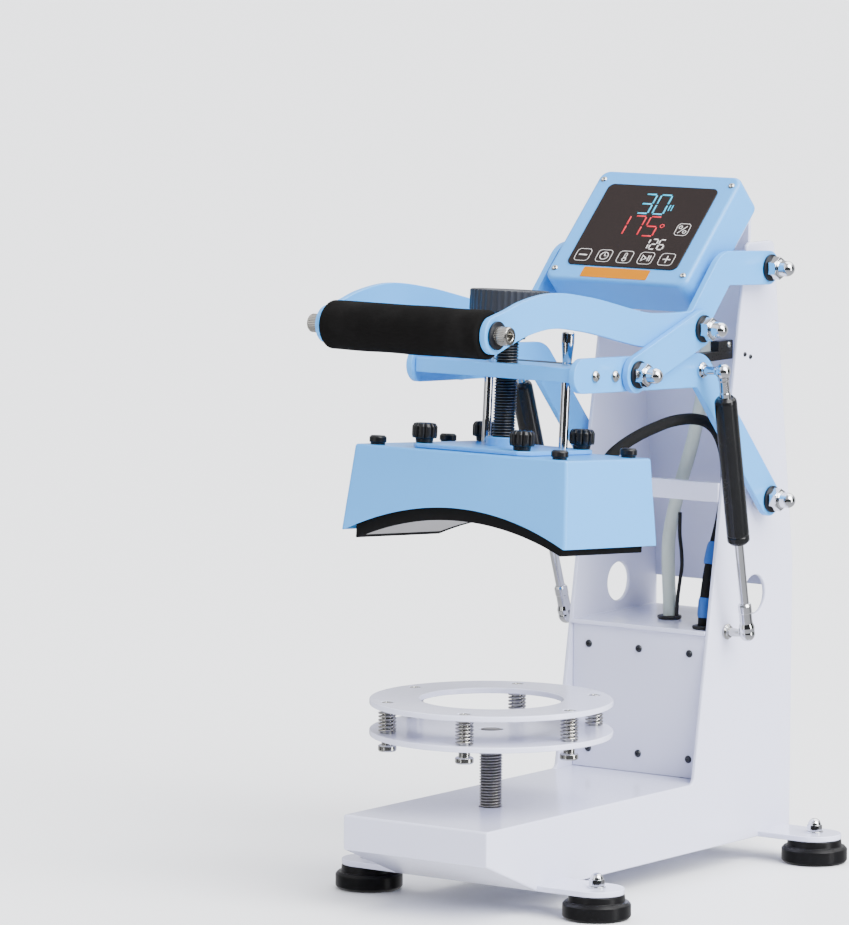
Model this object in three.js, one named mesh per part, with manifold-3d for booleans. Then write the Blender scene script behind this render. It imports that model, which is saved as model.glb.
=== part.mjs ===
// Ball heat press: a benchtop press with a curved heated platen that closes on a ball.
// Millimetres, +Z up. X runs across the machine, Y from the front of the base to its back.
// Every place below is measured from the front face of the base (Y = 0) and the floor
// (Z = 0); the finished model is moved so that its origin is the middle of its footprint.
import * as THREE from 'three';
import { mergeVertices } from 'three/addons/utils/BufferGeometryUtils.js';
import Module from 'manifold-3d';

const wasm = await Module();
wasm.setup();

// Clearances and overrun shared by every piece
const gap = 0.3;
const overrun = 2;
const boreClearance = 0.3;
const looseClearance = 0.6;

// Welded frame
const frameWidth = 150;
const sheet = 4;
const thinSheet = 2.5;
const frameDepth = 475;
const deckHeight = 82;
const frontFaceHeight = 30;
const lipDepth = 76;
const columnFoot = 316.5;
const innerFillet = 6;
const headHeight = 556;
const headFront = 394;
const headRear = 438;
const headCorner = 7;
const kneeHeight = 265;
const windowShare = 0.52;
const shelfHeight = 215;
const shelfFront = 337;
const braceHeight = 17;
const braceCentre = 336.5;
const braceDepth = 8;
const sideHoleRadius = 17.5;
const sideHoleDepth = 412.5;
const sideHoleHeight = 241;

// Feet and the tabs that they bolt to
const footHeight = 21;
const footRadius = 29.5;
const footCollarRadius = 24;
const footCollarHeight = 6;
const footBevel = 2;
const footSpread = 120;
const frontFootDepth = 99;
const rearFootDepth = 445.5;
const tabRadius = 24;
const tabThickness = 5;
const footStudRadius = 4;
const footStudLength = 11;

// Pivots of the toggle linkage, as (y, z) with the press closed
const upperPivot = new THREE.Vector2(411, 533.5);
const lowerPivot = new THREE.Vector2(416.5, 327);
const linkPivot = new THREE.Vector2(292.5, 488);
const armTilt = THREE.MathUtils.degToRad(4);

// Plates of the linkage: layers outwards from the side of the frame
const spacerWidth = 7;
const armThickness = 6;
const linkGap = 1;
const linkThickness = 6;
const armHalfWidth = 15;
const linkHalfWidth = 16;
const pivotRadius = 6;
const spacerRadius = 11;
const washerRadius = 12;
const washerThickness = 2.5;
const nutAcross = 18;
const nutHeight = 10;
const nutDome = 12;

// Lower arms, measured from the lower pivot along and across the level arm
const linkShaftSetback = 60.9;
const linkShaftRise = 112.5;
const armTabOverhang = 11;
const armTabRise = 111;
const gasTopReach = 122.5;
const gasTopRise = 115.5;

// Carrier plate between the lower arms
const carrierOverhang = 21;
const carrierDepth = 72;
const carrierThickness = 12.5;
const carrierRise = 105;

// Handle
const gripPivot = new THREE.Vector2(-10, 503);
const gripEndRadius = 16;
const waveStep = 21.5;
const handleKnee = new THREE.Vector2(340, 537.5);
const gripRadius = 21;
const gripBarRadius = 12.5;
const gripBoltRadius = 5;
const gripHeadRadius = 8;
const gripHeadLength = 12;
const gripSocketDepth = 5;
const gripSocketAcross = 8;

// Heater head, measured from the middle of its lower edge in the level arm frame
const headReach = 293.5;
const headDrop = 33;
const coverHeight = 74.5;
const coverTopWidth = 221.6;
const coverTopDepth = 128.6;
const coverBottomWidth = 234.4;
const coverBottomDepth = 140.4;
const coverSheet = 2;
const archRise = 26.7;
const archHalfSpan = 113;
const blockWidth = 214;
const blockDepth = 124;
const blockArchPeak = 15.7;
const blockArchEnd = -6.5;
const platenMargin = 6;
const platenThickness = 9;
const clampWidth = 122;
const clampDepth = 110;
const clampThickness = 4;
const clampCorner = 8;
const thrustRadius = 15;
const thrustHeight = 8;

// Thumb knobs that hold the clamp plate
const thumbSpanX = 102;
const thumbSpanY = 90;
const thumbRadius = 11;
const thumbHeight = 13;
const thumbNeckRadius = 8;
const thumbNeckHeight = 4;
const thumbStudRadius = 3;

// Pressure screw, its hand knob and the two guide rods
const screwRadius = 10;
const screwTop = 147;
const knobRadius = 34.5;
const knobRimHeight = 18;
const knobRimWall = 4;
const knobWebHeight = 6;
const knobHubRadius = 15;
const knobHubHeight = 24;
const knobFootRise = 138;
const guideRadius = 4;
const guideHeadRadius = 5.5;
const guideHeadLength = 20;
const guideSpan = 81;
const guideSetback = 32;
const guideTop = 146;

// Gas springs
const gasTopOffset = 110;
const gasFootOffset = 97;
const gasFoot = new THREE.Vector2(366.5, 212.5);
const ballRadius = 7;
const studRadius = 4;
const studFlangeRadius = 7;
const studFlangeHeight = 4;
const cylinderRadius = 10;
const cylinderBore = 7.5;
const cylinderStart = 24;
const cylinderLength = 137;
const cylinderNeckRadius = 5;
const glandLength = 8;
const glandClearance = 2;
const rodRadius = 4;
const rodLength = 205;
const rodNeckRadius = 6;
const rodNeckLength = 29;

// Ball support
const supportDepth = 112;
const supportRadius = 105;
const supportThickness = 5;
const lowerPlateHeight = 144.5;
const springLength = 21.5;
const seatRadius = 62;
const boltCircleRadius = 92.5;
const springCount = 6;
const firstBoltAngle = THREE.MathUtils.degToRad(-9);
const springRadius = 8;
const springWire = 1.8;
const springTurns = 7;
const boltRadius = 5;
const boltHeadRadius = 8;
const boltHeadHeight = 5.5;
const boltHang = 11;
const supportScrewRadius = 10;
const supportScrewFoot = 38;
const supportNutRadius = 17;
const supportNutHeight = 14;
const screwNotchRadius = 16;

// Control box
const boxFaceFoot = new THREE.Vector2(293, 524);
const boxSlope = Math.atan2(91, 93.5);
const boxLength = 130.5;
const boxThickness = 38;
const boxWall = 2.5;
const boxCorner = 9;
const panelSide = 16.8;
const panelEnd = 17;
const panelThickness = 2;
const panelCorner = 6;
const panelRim = 12;
const boxBracketStart = 82;
const boxBracketLength = 36;
const boxBracketDrop = 34;

// Electrical pieces
const coverScrewInset = 17;
const coverScrewRadius = 2;
const inletWidth = 28;
const inletHeight = 22;
const inletFlange = 10;
const inletDepth = 22;
const inletHeightOnCover = 130;
const inletOffset = 34;
const pinWidth = 2;
const pinHeight = 4;
const pinLength = 14;
const pinSpacing = 7;
const rockerWidth = 13;
const rockerLength = 26;
const rockerDepth = 12;
const rockerProud = 3;
const rockerDish = 2;
const rockerPivot = 471;
const rockerTilt = THREE.MathUtils.degToRad(8);
const boardWidth = 112;
const boardDepth = 76;
const boardThickness = 1.6;
const boardStandoff = 8;
const boardStandoffRadius = 4;
const boardInset = 8;
const relayWidth = 44;
const relayDepth = 58;
const relayHeight = 24;
const transformerSize = 34;
const switchDepth = 9;
const switchFront = 320;
const switchLength = 59;
const switchHeight = 17;
const switchBase = 454;
const switchBody = 23;
const switchTongue = 8;

// Cables
const controlCableRadius = 6;
const heaterCableRadius = 5;
const cableSides = 8;
const controlCableSteps = 22;
const heaterCableSteps = 24;
const controlExitAlong = 45;
const controlExitSide = 28;
const controlExitLead = 13;
const controlCableDrop = [
  [29, 378, 500], [32, 390, 478], [32, 394, 440], [21, 393, 380], [4.5, 392, 325],
  [-3, 391, 288], [-2.5, 390, 255], [-1, 390, 228], [-1, 390, 200],
];
const heaterExitHeight = 58;
const heaterExitSide = 54;
const heaterExitLead = 6;
const heaterExitGap = 0.8;
const heaterCableDrop = [
  [56.5, 208, 381], [59, 222, 389], [62, 245, 397], [64, 268, 402], [64, 292, 405],
  [64, 325, 404.5], [63.5, 350, 399], [62.5, 368, 388], [62, 380, 369], [61.5, 384, 342],
  [61, 377, 310], [61, 364, 280], [60.5, 357, 255], [60, 353, 230], [60, 352, 200],
];

// Values that follow from the ones above
const halfFrame = frameWidth / 2;
const upperPlateHeight = lowerPlateHeight + supportThickness + springLength;
const boxWidth = frameWidth;
const panelWidth = boxWidth - 2 * panelSide;
const panelLength = boxLength - 2 * panelEnd;
const carrierFront = headReach + carrierOverhang;
const armTabReach = headReach + armTabOverhang;
const linkShaftReach = headReach - linkShaftSetback;
const armInner = halfFrame + spacerWidth;
const armOuter = armInner + armThickness;
const linkInner = armOuter + linkGap;
const linkOuter = linkInner + linkThickness;
const kneeDepth = frameDepth;
const windowFoot = shelfHeight;
const windowTop = windowFoot + windowShare * (kneeHeight - windowFoot);
const armToWorld = (reach, rise) => new THREE.Vector2(
  lowerPivot.x - reach * Math.cos(armTilt) + rise * Math.sin(armTilt),
  lowerPivot.y + reach * Math.sin(armTilt) + rise * Math.cos(armTilt),
);
const linkShaft = armToWorld(linkShaftReach, linkShaftRise);
const gasTop = armToWorld(gasTopReach, gasTopRise);

// A point behind the control box: distance up its slope, and distance behind its back
const boxPoint = (along, behind) => new THREE.Vector2(
  boxFaceFoot.x + along * Math.cos(boxSlope) + (boxThickness + behind) * Math.sin(boxSlope),
  boxFaceFoot.y + along * Math.sin(boxSlope) - (boxThickness + behind) * Math.cos(boxSlope),
);

// Each cable starts square to the wall that it leaves, and then drops inside the column
const controlExit = boxPoint(controlExitAlong, boxWall / 2);
const controlLead = boxPoint(controlExitAlong, boxWall / 2 + controlExitLead);
const controlCableRoute = [
  [controlExitSide, controlExit.x, controlExit.y],
  [controlExitSide, controlLead.x, controlLead.y],
  ...controlCableDrop,
];
const coverTaper = (coverBottomDepth - coverTopDepth) / 2 / coverHeight;
const heaterExitReach = headReach - coverBottomDepth / 2 + coverTaper * heaterExitHeight - heaterExitGap;
const heaterExit = armToWorld(heaterExitReach, heaterExitHeight - headDrop);
const heaterLead = armToWorld(
  heaterExitReach - heaterExitLead, heaterExitHeight - headDrop + heaterExitLead * coverTaper,
);
const heaterCableRoute = [
  [heaterExitSide, heaterExit.x, heaterExit.y],
  [heaterExitSide, heaterLead.x, heaterLead.y],
  ...heaterCableDrop,
];

// How finely round shapes are cut
const turnedSides = 16;
const smallSides = 10;
const plateSides = 48;
const arcSteps = 4;
const filletSteps = 2;

// Finishes
const finish = (color, roughness, metalness) => () => (
  new THREE.MeshStandardMaterial({ color, roughness, metalness })
);
const whiteCoat = finish(0xdcdeea, 0.35, 0);
const blueCoat = finish(0xa3c9e8, 0.35, 0);
const chrome = finish(0xd8dadc, 0.12, 1);
const blackSteel = finish(0x26272a, 0.4, 0.8);
const darkZinc = finish(0x6d6b64, 0.35, 0.9);
const springSteel = finish(0xb9bbba, 0.25, 1);
const rubber = finish(0x232325, 0.8, 0);
const foam = finish(0x1c1b1a, 0.9, 0);
const blackPlastic = finish(0x1a1b1d, 0.45, 0);
const slatePlastic = finish(0x464a50, 0.5, 0);
const gasBlack = finish(0x1b1b1c, 0.35, 0.2);
const aluminium = finish(0xc9cbcf, 0.35, 1);
const panelBlack = finish(0x2a211f, 0.2, 0);
const boardGreen = finish(0x1f5a3a, 0.6, 0);
const greySleeve = finish(0x9da09c, 0.6, 0);
const blackSleeve = finish(0x222122, 0.75, 0);

// A closed mesh as a solid. A mesh that came out inside out is turned first.
function toSolid(geometry) {
  const bare = geometry.clone();
  for (const name of Object.keys(bare.attributes)) {
    if (name !== 'position') bare.deleteAttribute(name);
  }
  const merged = mergeVertices(bare, 1e-4);
  const place = merged.attributes.position;
  const index = Array.from(merged.index.array);
  const corner = (i) => new THREE.Vector3().fromBufferAttribute(place, index[i]);
  const kept = [];
  let volume = 0;
  for (let i = 0; i < index.length; i += 3) {
    if (index[i] === index[i + 1] || index[i + 1] === index[i + 2] || index[i] === index[i + 2]) continue;
    kept.push(index[i], index[i + 1], index[i + 2]);
    volume += corner(i).dot(corner(i + 1).cross(corner(i + 2)));
  }
  if (volume < 0) kept.reverse();
  return new wasm.Manifold(new wasm.Mesh({
    numProp: 3,
    vertProperties: new Float32Array(place.array),
    triVerts: new Uint32Array(kept),
  }));
}

// The triangles of a solid as a geometry
function toGeometry(solid) {
  const mesh = solid.getMesh();
  const geometry = new THREE.BufferGeometry();
  geometry.setAttribute('position', new THREE.BufferAttribute(new Float32Array(mesh.vertProperties), 3));
  geometry.setIndex(new THREE.BufferAttribute(new Uint32Array(mesh.triVerts), 1));
  geometry.computeVertexNormals();
  return geometry;
}

const join = (first, ...others) => others.reduce((sum, next) => sum.add(next), first);
const cut = (first, ...others) => others.reduce((rest, next) => rest.subtract(next), first);

// Axis changes: a shape drawn flat is stood up across the machine
const axisX = new THREE.Vector3(1, 0, 0);
const axisY = new THREE.Vector3(0, 1, 0);
const axisZ = new THREE.Vector3(0, 0, 1);
const sideOn = new THREE.Matrix4().makeBasis(axisY, axisZ, axisX);
const frontOn = new THREE.Matrix4().makeBasis(axisX, axisZ, axisY.clone().negate());

// A slab of a drawn shape: its thickness runs along Z from z = 0
function slab(shape, thickness, curveSegments = arcSteps) {
  return new THREE.ExtrudeGeometry(shape, { depth: thickness, bevelEnabled: false, curveSegments });
}

// A plate drawn as (y, z), from x = start over its thickness along X
function sidePlate(shape, start, thickness, curveSegments = arcSteps) {
  return toSolid(slab(shape, thickness, curveSegments).applyMatrix4(sideOn).translate(start, 0, 0));
}

// A plate drawn as (x, z), whose rear face is at y = rear and front face is thickness before it
function frontPlate(shape, rear, thickness, curveSegments = arcSteps) {
  return toSolid(slab(shape, thickness, curveSegments).applyMatrix4(frontOn).translate(0, rear, 0));
}

// A plate drawn as (x, y), from z = foot upwards
function levelPlate(shape, foot, thickness, curveSegments = arcSteps) {
  return toSolid(slab(shape, thickness, curveSegments).translate(0, 0, foot));
}

// A block from its middle in X and its lowest Y and Z
function block(middleX, frontY, footZ, width, depth, height) {
  const geometry = new THREE.BoxGeometry(width, depth, height);
  return toSolid(geometry.translate(middleX, frontY + depth / 2, footZ + height / 2));
}

// A turned piece about Z from (radius, height) pairs. The profile starts and ends on the axis
// or returns to its own start.
function turned(profile, sides = turnedSides) {
  const points = profile.map(([radius, height]) => new THREE.Vector2(radius, height));
  return new THREE.LatheGeometry(points, sides).rotateX(Math.PI / 2);
}
const turnedUp = (profile, sides) => toSolid(turned(profile, sides));
const turnedAcross = (profile, sides) => toSolid(turned(profile, sides).rotateY(Math.PI / 2));

// A plain round bar along Z or along X
const bar = (radius, foot, top, sides) => turnedUp([[0, foot], [radius, foot], [radius, top], [0, top]], sides);
const crossBar = (radius, start, end, sides) => (
  turnedAcross([[0, start], [radius, start], [radius, end], [0, end]], sides)
);

// What a bore removes. Its flats lie outside the true circle, so that a round bar always fits.
const drill = (radius, foot, top, sides = smallSides) => bar(radius / Math.cos(Math.PI / sides), foot, top, sides);

// A closed outline with each corner [x, y, radius] rounded by an arc
function outline(corners) {
  const shape = new THREE.Shape();
  const count = corners.length;
  corners.forEach(([x, y, radius = 0], i) => {
    const here = new THREE.Vector2(x, y);
    const [bx, by] = corners[(i + count - 1) % count];
    const [ax, ay] = corners[(i + 1) % count];
    const back = new THREE.Vector2(bx, by).sub(here);
    const ahead = new THREE.Vector2(ax, ay).sub(here);
    const half = Math.acos(back.dot(ahead) / back.length() / ahead.length()) / 2;
    const reach = Math.min(radius / Math.tan(half), back.length() / 2, ahead.length() / 2);
    const limited = reach * Math.tan(half);
    const first = here.clone().addScaledVector(back.normalize(), reach);
    if (i === 0) shape.moveTo(first.x, first.y);
    else shape.lineTo(first.x, first.y);
    if (limited > 0) {
      const last = here.clone().addScaledVector(ahead.normalize(), reach);
      const inward = back.clone().add(ahead).normalize();
      const centre = here.clone().addScaledVector(inward, limited / Math.sin(half));
      const angleOf = (point) => Math.atan2(point.y - centre.y, point.x - centre.x);
      const clockwise = back.cross(ahead) > 0;
      shape.absarc(centre.x, centre.y, limited, angleOf(first), angleOf(last), clockwise);
    }
  });
  shape.closePath();
  return shape;
}

// A rectangle with its middle at (x, y)
function rectangle(x, y, width, height, radius = 0) {
  const [halfW, halfH] = [width / 2, height / 2];
  return outline([
    [x - halfW, y - halfH, radius],
    [x + halfW, y - halfH, radius],
    [x + halfW, y + halfH, radius],
    [x - halfW, y + halfH, radius],
  ]);
}

// A straight bar with round ends between two points
function stadium(from, to, radius) {
  const angle = Math.atan2(to.y - from.y, to.x - from.x);
  const shape = new THREE.Shape();
  shape.absarc(to.x, to.y, radius, angle - Math.PI / 2, angle + Math.PI / 2, false);
  shape.absarc(from.x, from.y, radius, angle + Math.PI / 2, angle + 3 * Math.PI / 2, false);
  shape.closePath();
  return shape;
}

// A bore across the machine through everything between start and end
const crossBore = (place, radius, start, end) => (
  crossBar(radius / Math.cos(Math.PI / turnedSides), start - overrun, end + overrun)
    .translate([0, place.x, place.y])
);

// A hexagonal prism about Z with a given width across its flats
const hexagon = (across, foot, top) => bar(across / 2 / Math.cos(Math.PI / 6), foot, top, 6);

// A mesh for a solid that has already been made in the place of its parent
function piece(name, solid, material) {
  const mesh = new THREE.Mesh(toGeometry(solid), material());
  mesh.name = name;
  return mesh;
}
const bothSides = [['left', -1], ['right', 1]];
const mirrored = (solid, side) => (side < 0 ? solid.mirror([1, 0, 0]) : solid);

const model = new THREE.Group();

// Welded frame: two side plates with everything that is welded between them
function sideOutline() {
  const shape = outline([
    [0, deckHeight - frontFaceHeight],
    [lipDepth, footHeight],
    [frameDepth, footHeight],
    [kneeDepth, kneeHeight],
    [headRear, headHeight, headCorner],
    [headFront, headHeight, headCorner],
    [columnFoot, deckHeight, innerFillet],
    [0, deckHeight],
  ]);
  const hole = new THREE.Path();
  hole.absarc(sideHoleDepth, sideHoleHeight, sideHoleRadius, 0, Math.PI * 2, true);
  shape.holes.push(hole);
  return shape;
}

// The column's front edge and rear edge at a height
const columnFrontAt = (z) => (
  columnFoot + (headFront - columnFoot) * (z - deckHeight) / (headHeight - deckHeight)
);
const columnRearAt = (z) => (
  z < kneeHeight ? kneeDepth : kneeDepth + (headRear - kneeDepth) * (z - kneeHeight) / (headHeight - kneeHeight)
);

function boxBracketOutline() {
  const foot = boxPoint(boxBracketStart, gap);
  const top = boxPoint(boxBracketStart + boxBracketLength, gap);
  const topBack = boxPoint(boxBracketStart + boxBracketLength, gap + thinSheet);
  const footBack = boxPoint(boxBracketStart, gap + thinSheet);
  const legTop = boxPoint(boxBracketStart + boxBracketLength - thinSheet, gap + thinSheet);
  return outline([
    [foot.x, foot.y],
    [footBack.x, footBack.y],
    [legTop.x - thinSheet, legTop.y - thinSheet * Math.tan(boxSlope)],
    [legTop.x - thinSheet, headHeight - boxBracketDrop],
    [legTop.x, headHeight - boxBracketDrop],
    [topBack.x, topBack.y],
    [top.x, top.y],
  ]);
}

function weldedFrame() {
  const inside = halfFrame - sheet / 2;
  const across = 2 * inside;
  const lipSlope = (deckHeight - frontFaceHeight - footHeight) / lipDepth;
  const frontSheet = outline([
    [0, deckHeight],
    [0, deckHeight - frontFaceHeight],
    [lipDepth, footHeight],
    [lipDepth, footHeight + sheet],
    [sheet, deckHeight - frontFaceHeight - sheet * lipSlope + sheet],
    [sheet, deckHeight],
  ]);
  const rearSheet = outline([
    [kneeDepth, windowTop],
    [kneeDepth, kneeHeight],
    [columnRearAt(headHeight - headCorner), headHeight - headCorner],
    [columnRearAt(headHeight - headCorner) - thinSheet, headHeight - headCorner],
    [kneeDepth - thinSheet, kneeHeight],
    [kneeDepth - thinSheet, windowTop],
  ]);
  const deck = rectangle(0, frameDepth / 2, across, frameDepth - 2 * thinSheet);
  const tab = (depth) => levelPlate(
    stadium(new THREE.Vector2(-footSpread, depth), new THREE.Vector2(footSpread, depth), tabRadius),
    footHeight, tabThickness,
  );
  const studHole = (x, y) => drill(
    footStudRadius + boreClearance, footHeight - overrun, footHeight + tabThickness + overrun,
  ).translate([x, y, 0]);
  const shelfDepth = frameDepth - thinSheet - shelfFront;
  const shelfFoot = shelfHeight - sheet;
  const grommet = (route, radius) => {
    const [x, y] = route[route.length - 1];
    return drill(radius + looseClearance, shelfFoot - overrun, shelfHeight + overrun).translate([x, y, 0]);
  };
  const braceFront = columnFrontAt(braceCentre - braceHeight / 2);
  const nutFoot = deckHeight - sheet - supportNutHeight;
  let frame = join(
    sidePlate(sideOutline(), -halfFrame, sheet, filletSteps * 3),
    sidePlate(sideOutline(), halfFrame - sheet, sheet, filletSteps * 3),
    sidePlate(frontSheet, -inside, across),
    sidePlate(rearSheet, -inside, across),
    sidePlate(boxBracketOutline(), -inside, across),
    levelPlate(deck, deckHeight - sheet, sheet),
    tab(frontFootDepth),
    tab(rearFootDepth),
    block(0, shelfFront, shelfFoot, across, shelfDepth, sheet),
    block(0, braceFront, braceCentre - braceHeight / 2, across, braceDepth, braceHeight),
    bar(supportNutRadius, nutFoot, deckHeight - sheet / 2, 6).translate([0, supportDepth, 0]),
  );
  for (const [, side] of bothSides) {
    frame = cut(
      frame,
      studHole(side * footSpread, frontFootDepth),
      studHole(side * footSpread, rearFootDepth),
    );
  }
  return cut(
    frame,
    crossBore(upperPivot, pivotRadius + boreClearance, -halfFrame, halfFrame),
    crossBore(lowerPivot, pivotRadius + boreClearance, -halfFrame, halfFrame),
    grommet(controlCableRoute, controlCableRadius),
    grommet(heaterCableRoute, heaterCableRadius),
    drill(supportScrewRadius + boreClearance, nutFoot - overrun, deckHeight + overrun, turnedSides)
      .translate([0, supportDepth, 0]),
    drill(screwNotchRadius, footHeight - overrun, footHeight + tabThickness + overrun)
      .translate([0, supportDepth, 0]),
  );
}
model.add(piece('welded_frame', weldedFrame(), whiteCoat));

// Covers of the electrical compartment at the foot of the column
const compartmentWidth = frameWidth - 2 * sheet - 2 * gap;
const compartmentHeight = shelfHeight - sheet - deckHeight - 2 * gap;
const compartmentMiddle = deckHeight + gap + compartmentHeight / 2;

function electronicsCover() {
  const shape = rectangle(0, compartmentMiddle, compartmentWidth, compartmentHeight);
  const row = compartmentWidth / 2 - coverScrewInset;
  for (const x of [-row, 0, row]) {
    for (const z of [-1, 1]) {
      const hole = new THREE.Path();
      const place = compartmentMiddle + z * (compartmentHeight / 2 - coverScrewInset);
      hole.absarc(x, place, coverScrewRadius, 0, Math.PI * 2, true);
      shape.holes.push(hole);
    }
  }
  return frontPlate(shape, shelfFront + 2 * thinSheet, thinSheet, filletSteps);
}
model.add(piece('electronics_cover', electronicsCover(), whiteCoat));

const rearCoverInner = frameDepth - thinSheet;
function rearCover() {
  const plate = frontPlate(
    rectangle(0, compartmentMiddle, compartmentWidth, compartmentHeight), frameDepth, thinSheet,
  );
  const opening = (x, width, height) => frontPlate(
    rectangle(x, inletHeightOnCover, width, height), frameDepth + overrun, thinSheet + 2 * overrun,
  );
  return cut(
    plate,
    opening(-inletOffset, inletWidth + 2 * gap, inletHeight + 2 * gap),
    opening(inletOffset, rockerWidth + 2 * looseClearance, rockerLength + 2 * looseClearance),
  );
}
model.add(piece('rear_cover', rearCover(), whiteCoat));

// Mains inlet: a flanged socket with three pins in its hollow
function mainsInlet() {
  const flange = frontPlate(
    rectangle(0, 0, inletWidth + 2 * inletFlange, inletHeight + inletFlange, inletFlange / 2),
    frameDepth + gap + thinSheet, thinSheet,
  );
  const body = frontPlate(rectangle(0, 0, inletWidth, inletHeight), frameDepth + gap + overrun, inletDepth);
  const hollow = frontPlate(
    rectangle(0, 0, inletWidth - 2 * thinSheet, inletHeight - 2 * thinSheet, thinSheet),
    frameDepth + gap + thinSheet + overrun, inletDepth - thinSheet,
  );
  const pin = (x, z) => frontPlate(
    rectangle(x, z, pinWidth, pinHeight), frameDepth + overrun - inletDepth + pinLength + thinSheet, pinLength,
  );
  return join(
    cut(join(flange, body), hollow),
    pin(-pinSpacing, -pinHeight / 2), pin(0, pinHeight / 2), pin(pinSpacing, -pinHeight / 2),
  ).translate([-inletOffset, 0, inletHeightOnCover]);
}
model.add(piece('mains_inlet', mainsInlet(), blackPlastic));

// Power switch rocker about its pivot, dished between its two raised ends and tilted to off
function powerSwitch() {
  const rear = frameDepth + rockerProud - rockerPivot;
  const shape = new THREE.Shape();
  shape.moveTo(rear - rockerDepth, -rockerLength / 3);
  shape.lineTo(rear, -rockerLength / 2);
  shape.quadraticCurveTo(rear - 2 * rockerDish, 0, rear, rockerLength / 2);
  shape.lineTo(rear - rockerDepth, rockerLength / 3);
  shape.closePath();
  return sidePlate(shape, -rockerWidth / 2, rockerWidth);
}
const rocker = piece('power_switch', powerSwitch(), blackPlastic);
rocker.position.set(inletOffset, rockerPivot, inletHeightOnCover);
rocker.rotation.x = -rockerTilt;
model.add(rocker);

// Power board on its four standoffs, with a solid-state relay and a transformer
function powerBoard() {
  const front = (shelfFront + rearCoverInner - boardDepth) / 2;
  const foot = deckHeight + gap;
  const top = foot + boardStandoff + boardThickness;
  const parts = [block(0, front, foot + boardStandoff, boardWidth, boardDepth, boardThickness)];
  for (const [, side] of bothSides) {
    for (const y of [front + boardInset, front + boardDepth - boardInset]) {
      parts.push(bar(boardStandoffRadius, foot, top - boardThickness / 2, smallSides)
        .translate([side * (boardWidth / 2 - boardInset), y, 0]));
    }
  }
  const relayFront = front + (boardDepth - relayDepth) / 2;
  const transformerFront = front + (boardDepth - transformerSize) / 2;
  const sink = boardThickness / 2;
  parts.push(block(-boardWidth / 4, relayFront, top - sink, relayWidth, relayDepth, relayHeight));
  parts.push(block(
    boardWidth / 4, transformerFront, top - sink, transformerSize, transformerSize, transformerSize,
  ));
  return join(...parts);
}
model.add(piece('power_board', powerBoard(), boardGreen));

// Limit switch inside the right side plate, with a tongue that reaches forward to the linkage
function limitSwitch() {
  const shape = outline([
    [switchFront, switchBase + switchTongue / 2],
    [switchFront + switchTongue, switchBase],
    [switchFront + switchLength, switchBase],
    [switchFront + switchLength, switchBase + switchHeight],
    [switchFront + switchLength - switchBody, switchBase + switchHeight],
    [switchFront + switchLength - switchBody, switchBase + switchTongue],
    [switchFront + switchTongue, switchBase + switchTongue],
  ]);
  return sidePlate(shape, halfFrame - sheet - gap - switchDepth, switchDepth);
}
model.add(piece('limit_switch', limitSwitch(), blackPlastic));

// Rubber feet: a stepped disc with a stud through the frame's tab
function rubberFoot() {
  const rim = footHeight - gap - footCollarHeight;
  const top = footHeight - gap;
  const studTop = footHeight + tabThickness + footStudLength;
  return turnedUp([
    [0, 0], [footRadius - footBevel, 0], [footRadius, footBevel], [footRadius, rim - footBevel],
    [footRadius - footBevel, rim], [footCollarRadius, rim], [footCollarRadius, top],
    [footStudRadius, top], [footStudRadius, studTop], [0, studTop],
  ]);
}
for (const [sideName, side] of bothSides) {
  for (const [rowName, depth] of [['front', frontFootDepth], ['rear', rearFootDepth]]) {
    const foot = piece(`rubber_foot_${rowName}_${sideName}`, rubberFoot(), rubber);
    foot.position.set(side * footSpread, depth, 0);
    model.add(foot);
  }
}

// Washer and cap nut about X, seated on a face that looks outwards at x = seat
function capNut(seat) {
  const nutFoot = seat + washerThickness;
  const nutTop = nutFoot + nutHeight;
  const domeRadius = nutAcross / 2;
  const dome = [[0, nutTop - overrun], [domeRadius, nutTop - overrun]];
  for (let step = 0; step <= arcSteps; step += 1) {
    const angle = (step / arcSteps) * Math.PI / 2;
    dome.push([domeRadius * Math.cos(angle), nutTop + nutDome * Math.sin(angle)]);
  }
  return join(
    turnedAcross([[0, seat], [washerRadius, seat], [washerRadius, nutFoot], [0, nutFoot]]),
    toSolid(turned([
      [0, nutFoot - overrun], [domeRadius / Math.cos(Math.PI / 6), nutFoot - overrun],
      [domeRadius / Math.cos(Math.PI / 6), nutTop], [0, nutTop],
    ], 6).rotateY(Math.PI / 2)),
    turnedAcross(dome),
  );
}

// A shaft right across the frame with its spacers, washers and cap nuts
function pivotShaft() {
  const spacer = crossBar(spacerRadius, halfFrame + gap, armInner - gap);
  const nut = capNut(armOuter + gap);
  return join(
    crossBar(pivotRadius, -armOuter - overrun, armOuter + overrun),
    spacer, spacer.mirror([1, 0, 0]),
    nut, nut.mirror([1, 0, 0]),
  );
}
for (const [name, place] of [['upper_pivot_shaft', upperPivot], ['lower_pivot_shaft', lowerPivot]]) {
  const shaft = piece(name, pivotShaft(), chrome);
  shaft.position.set(0, place.x, place.y);
  model.add(shaft);
}

// Control box, drawn lying on its back plate and then leaned to the slope of its face.
// In its own frame X is across, Y is up the slope and Z is out of the face.
const box = new THREE.Group();
box.position.set(0, boxFaceFoot.x, boxFaceFoot.y);
box.rotation.x = boxSlope;
model.add(box);

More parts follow.
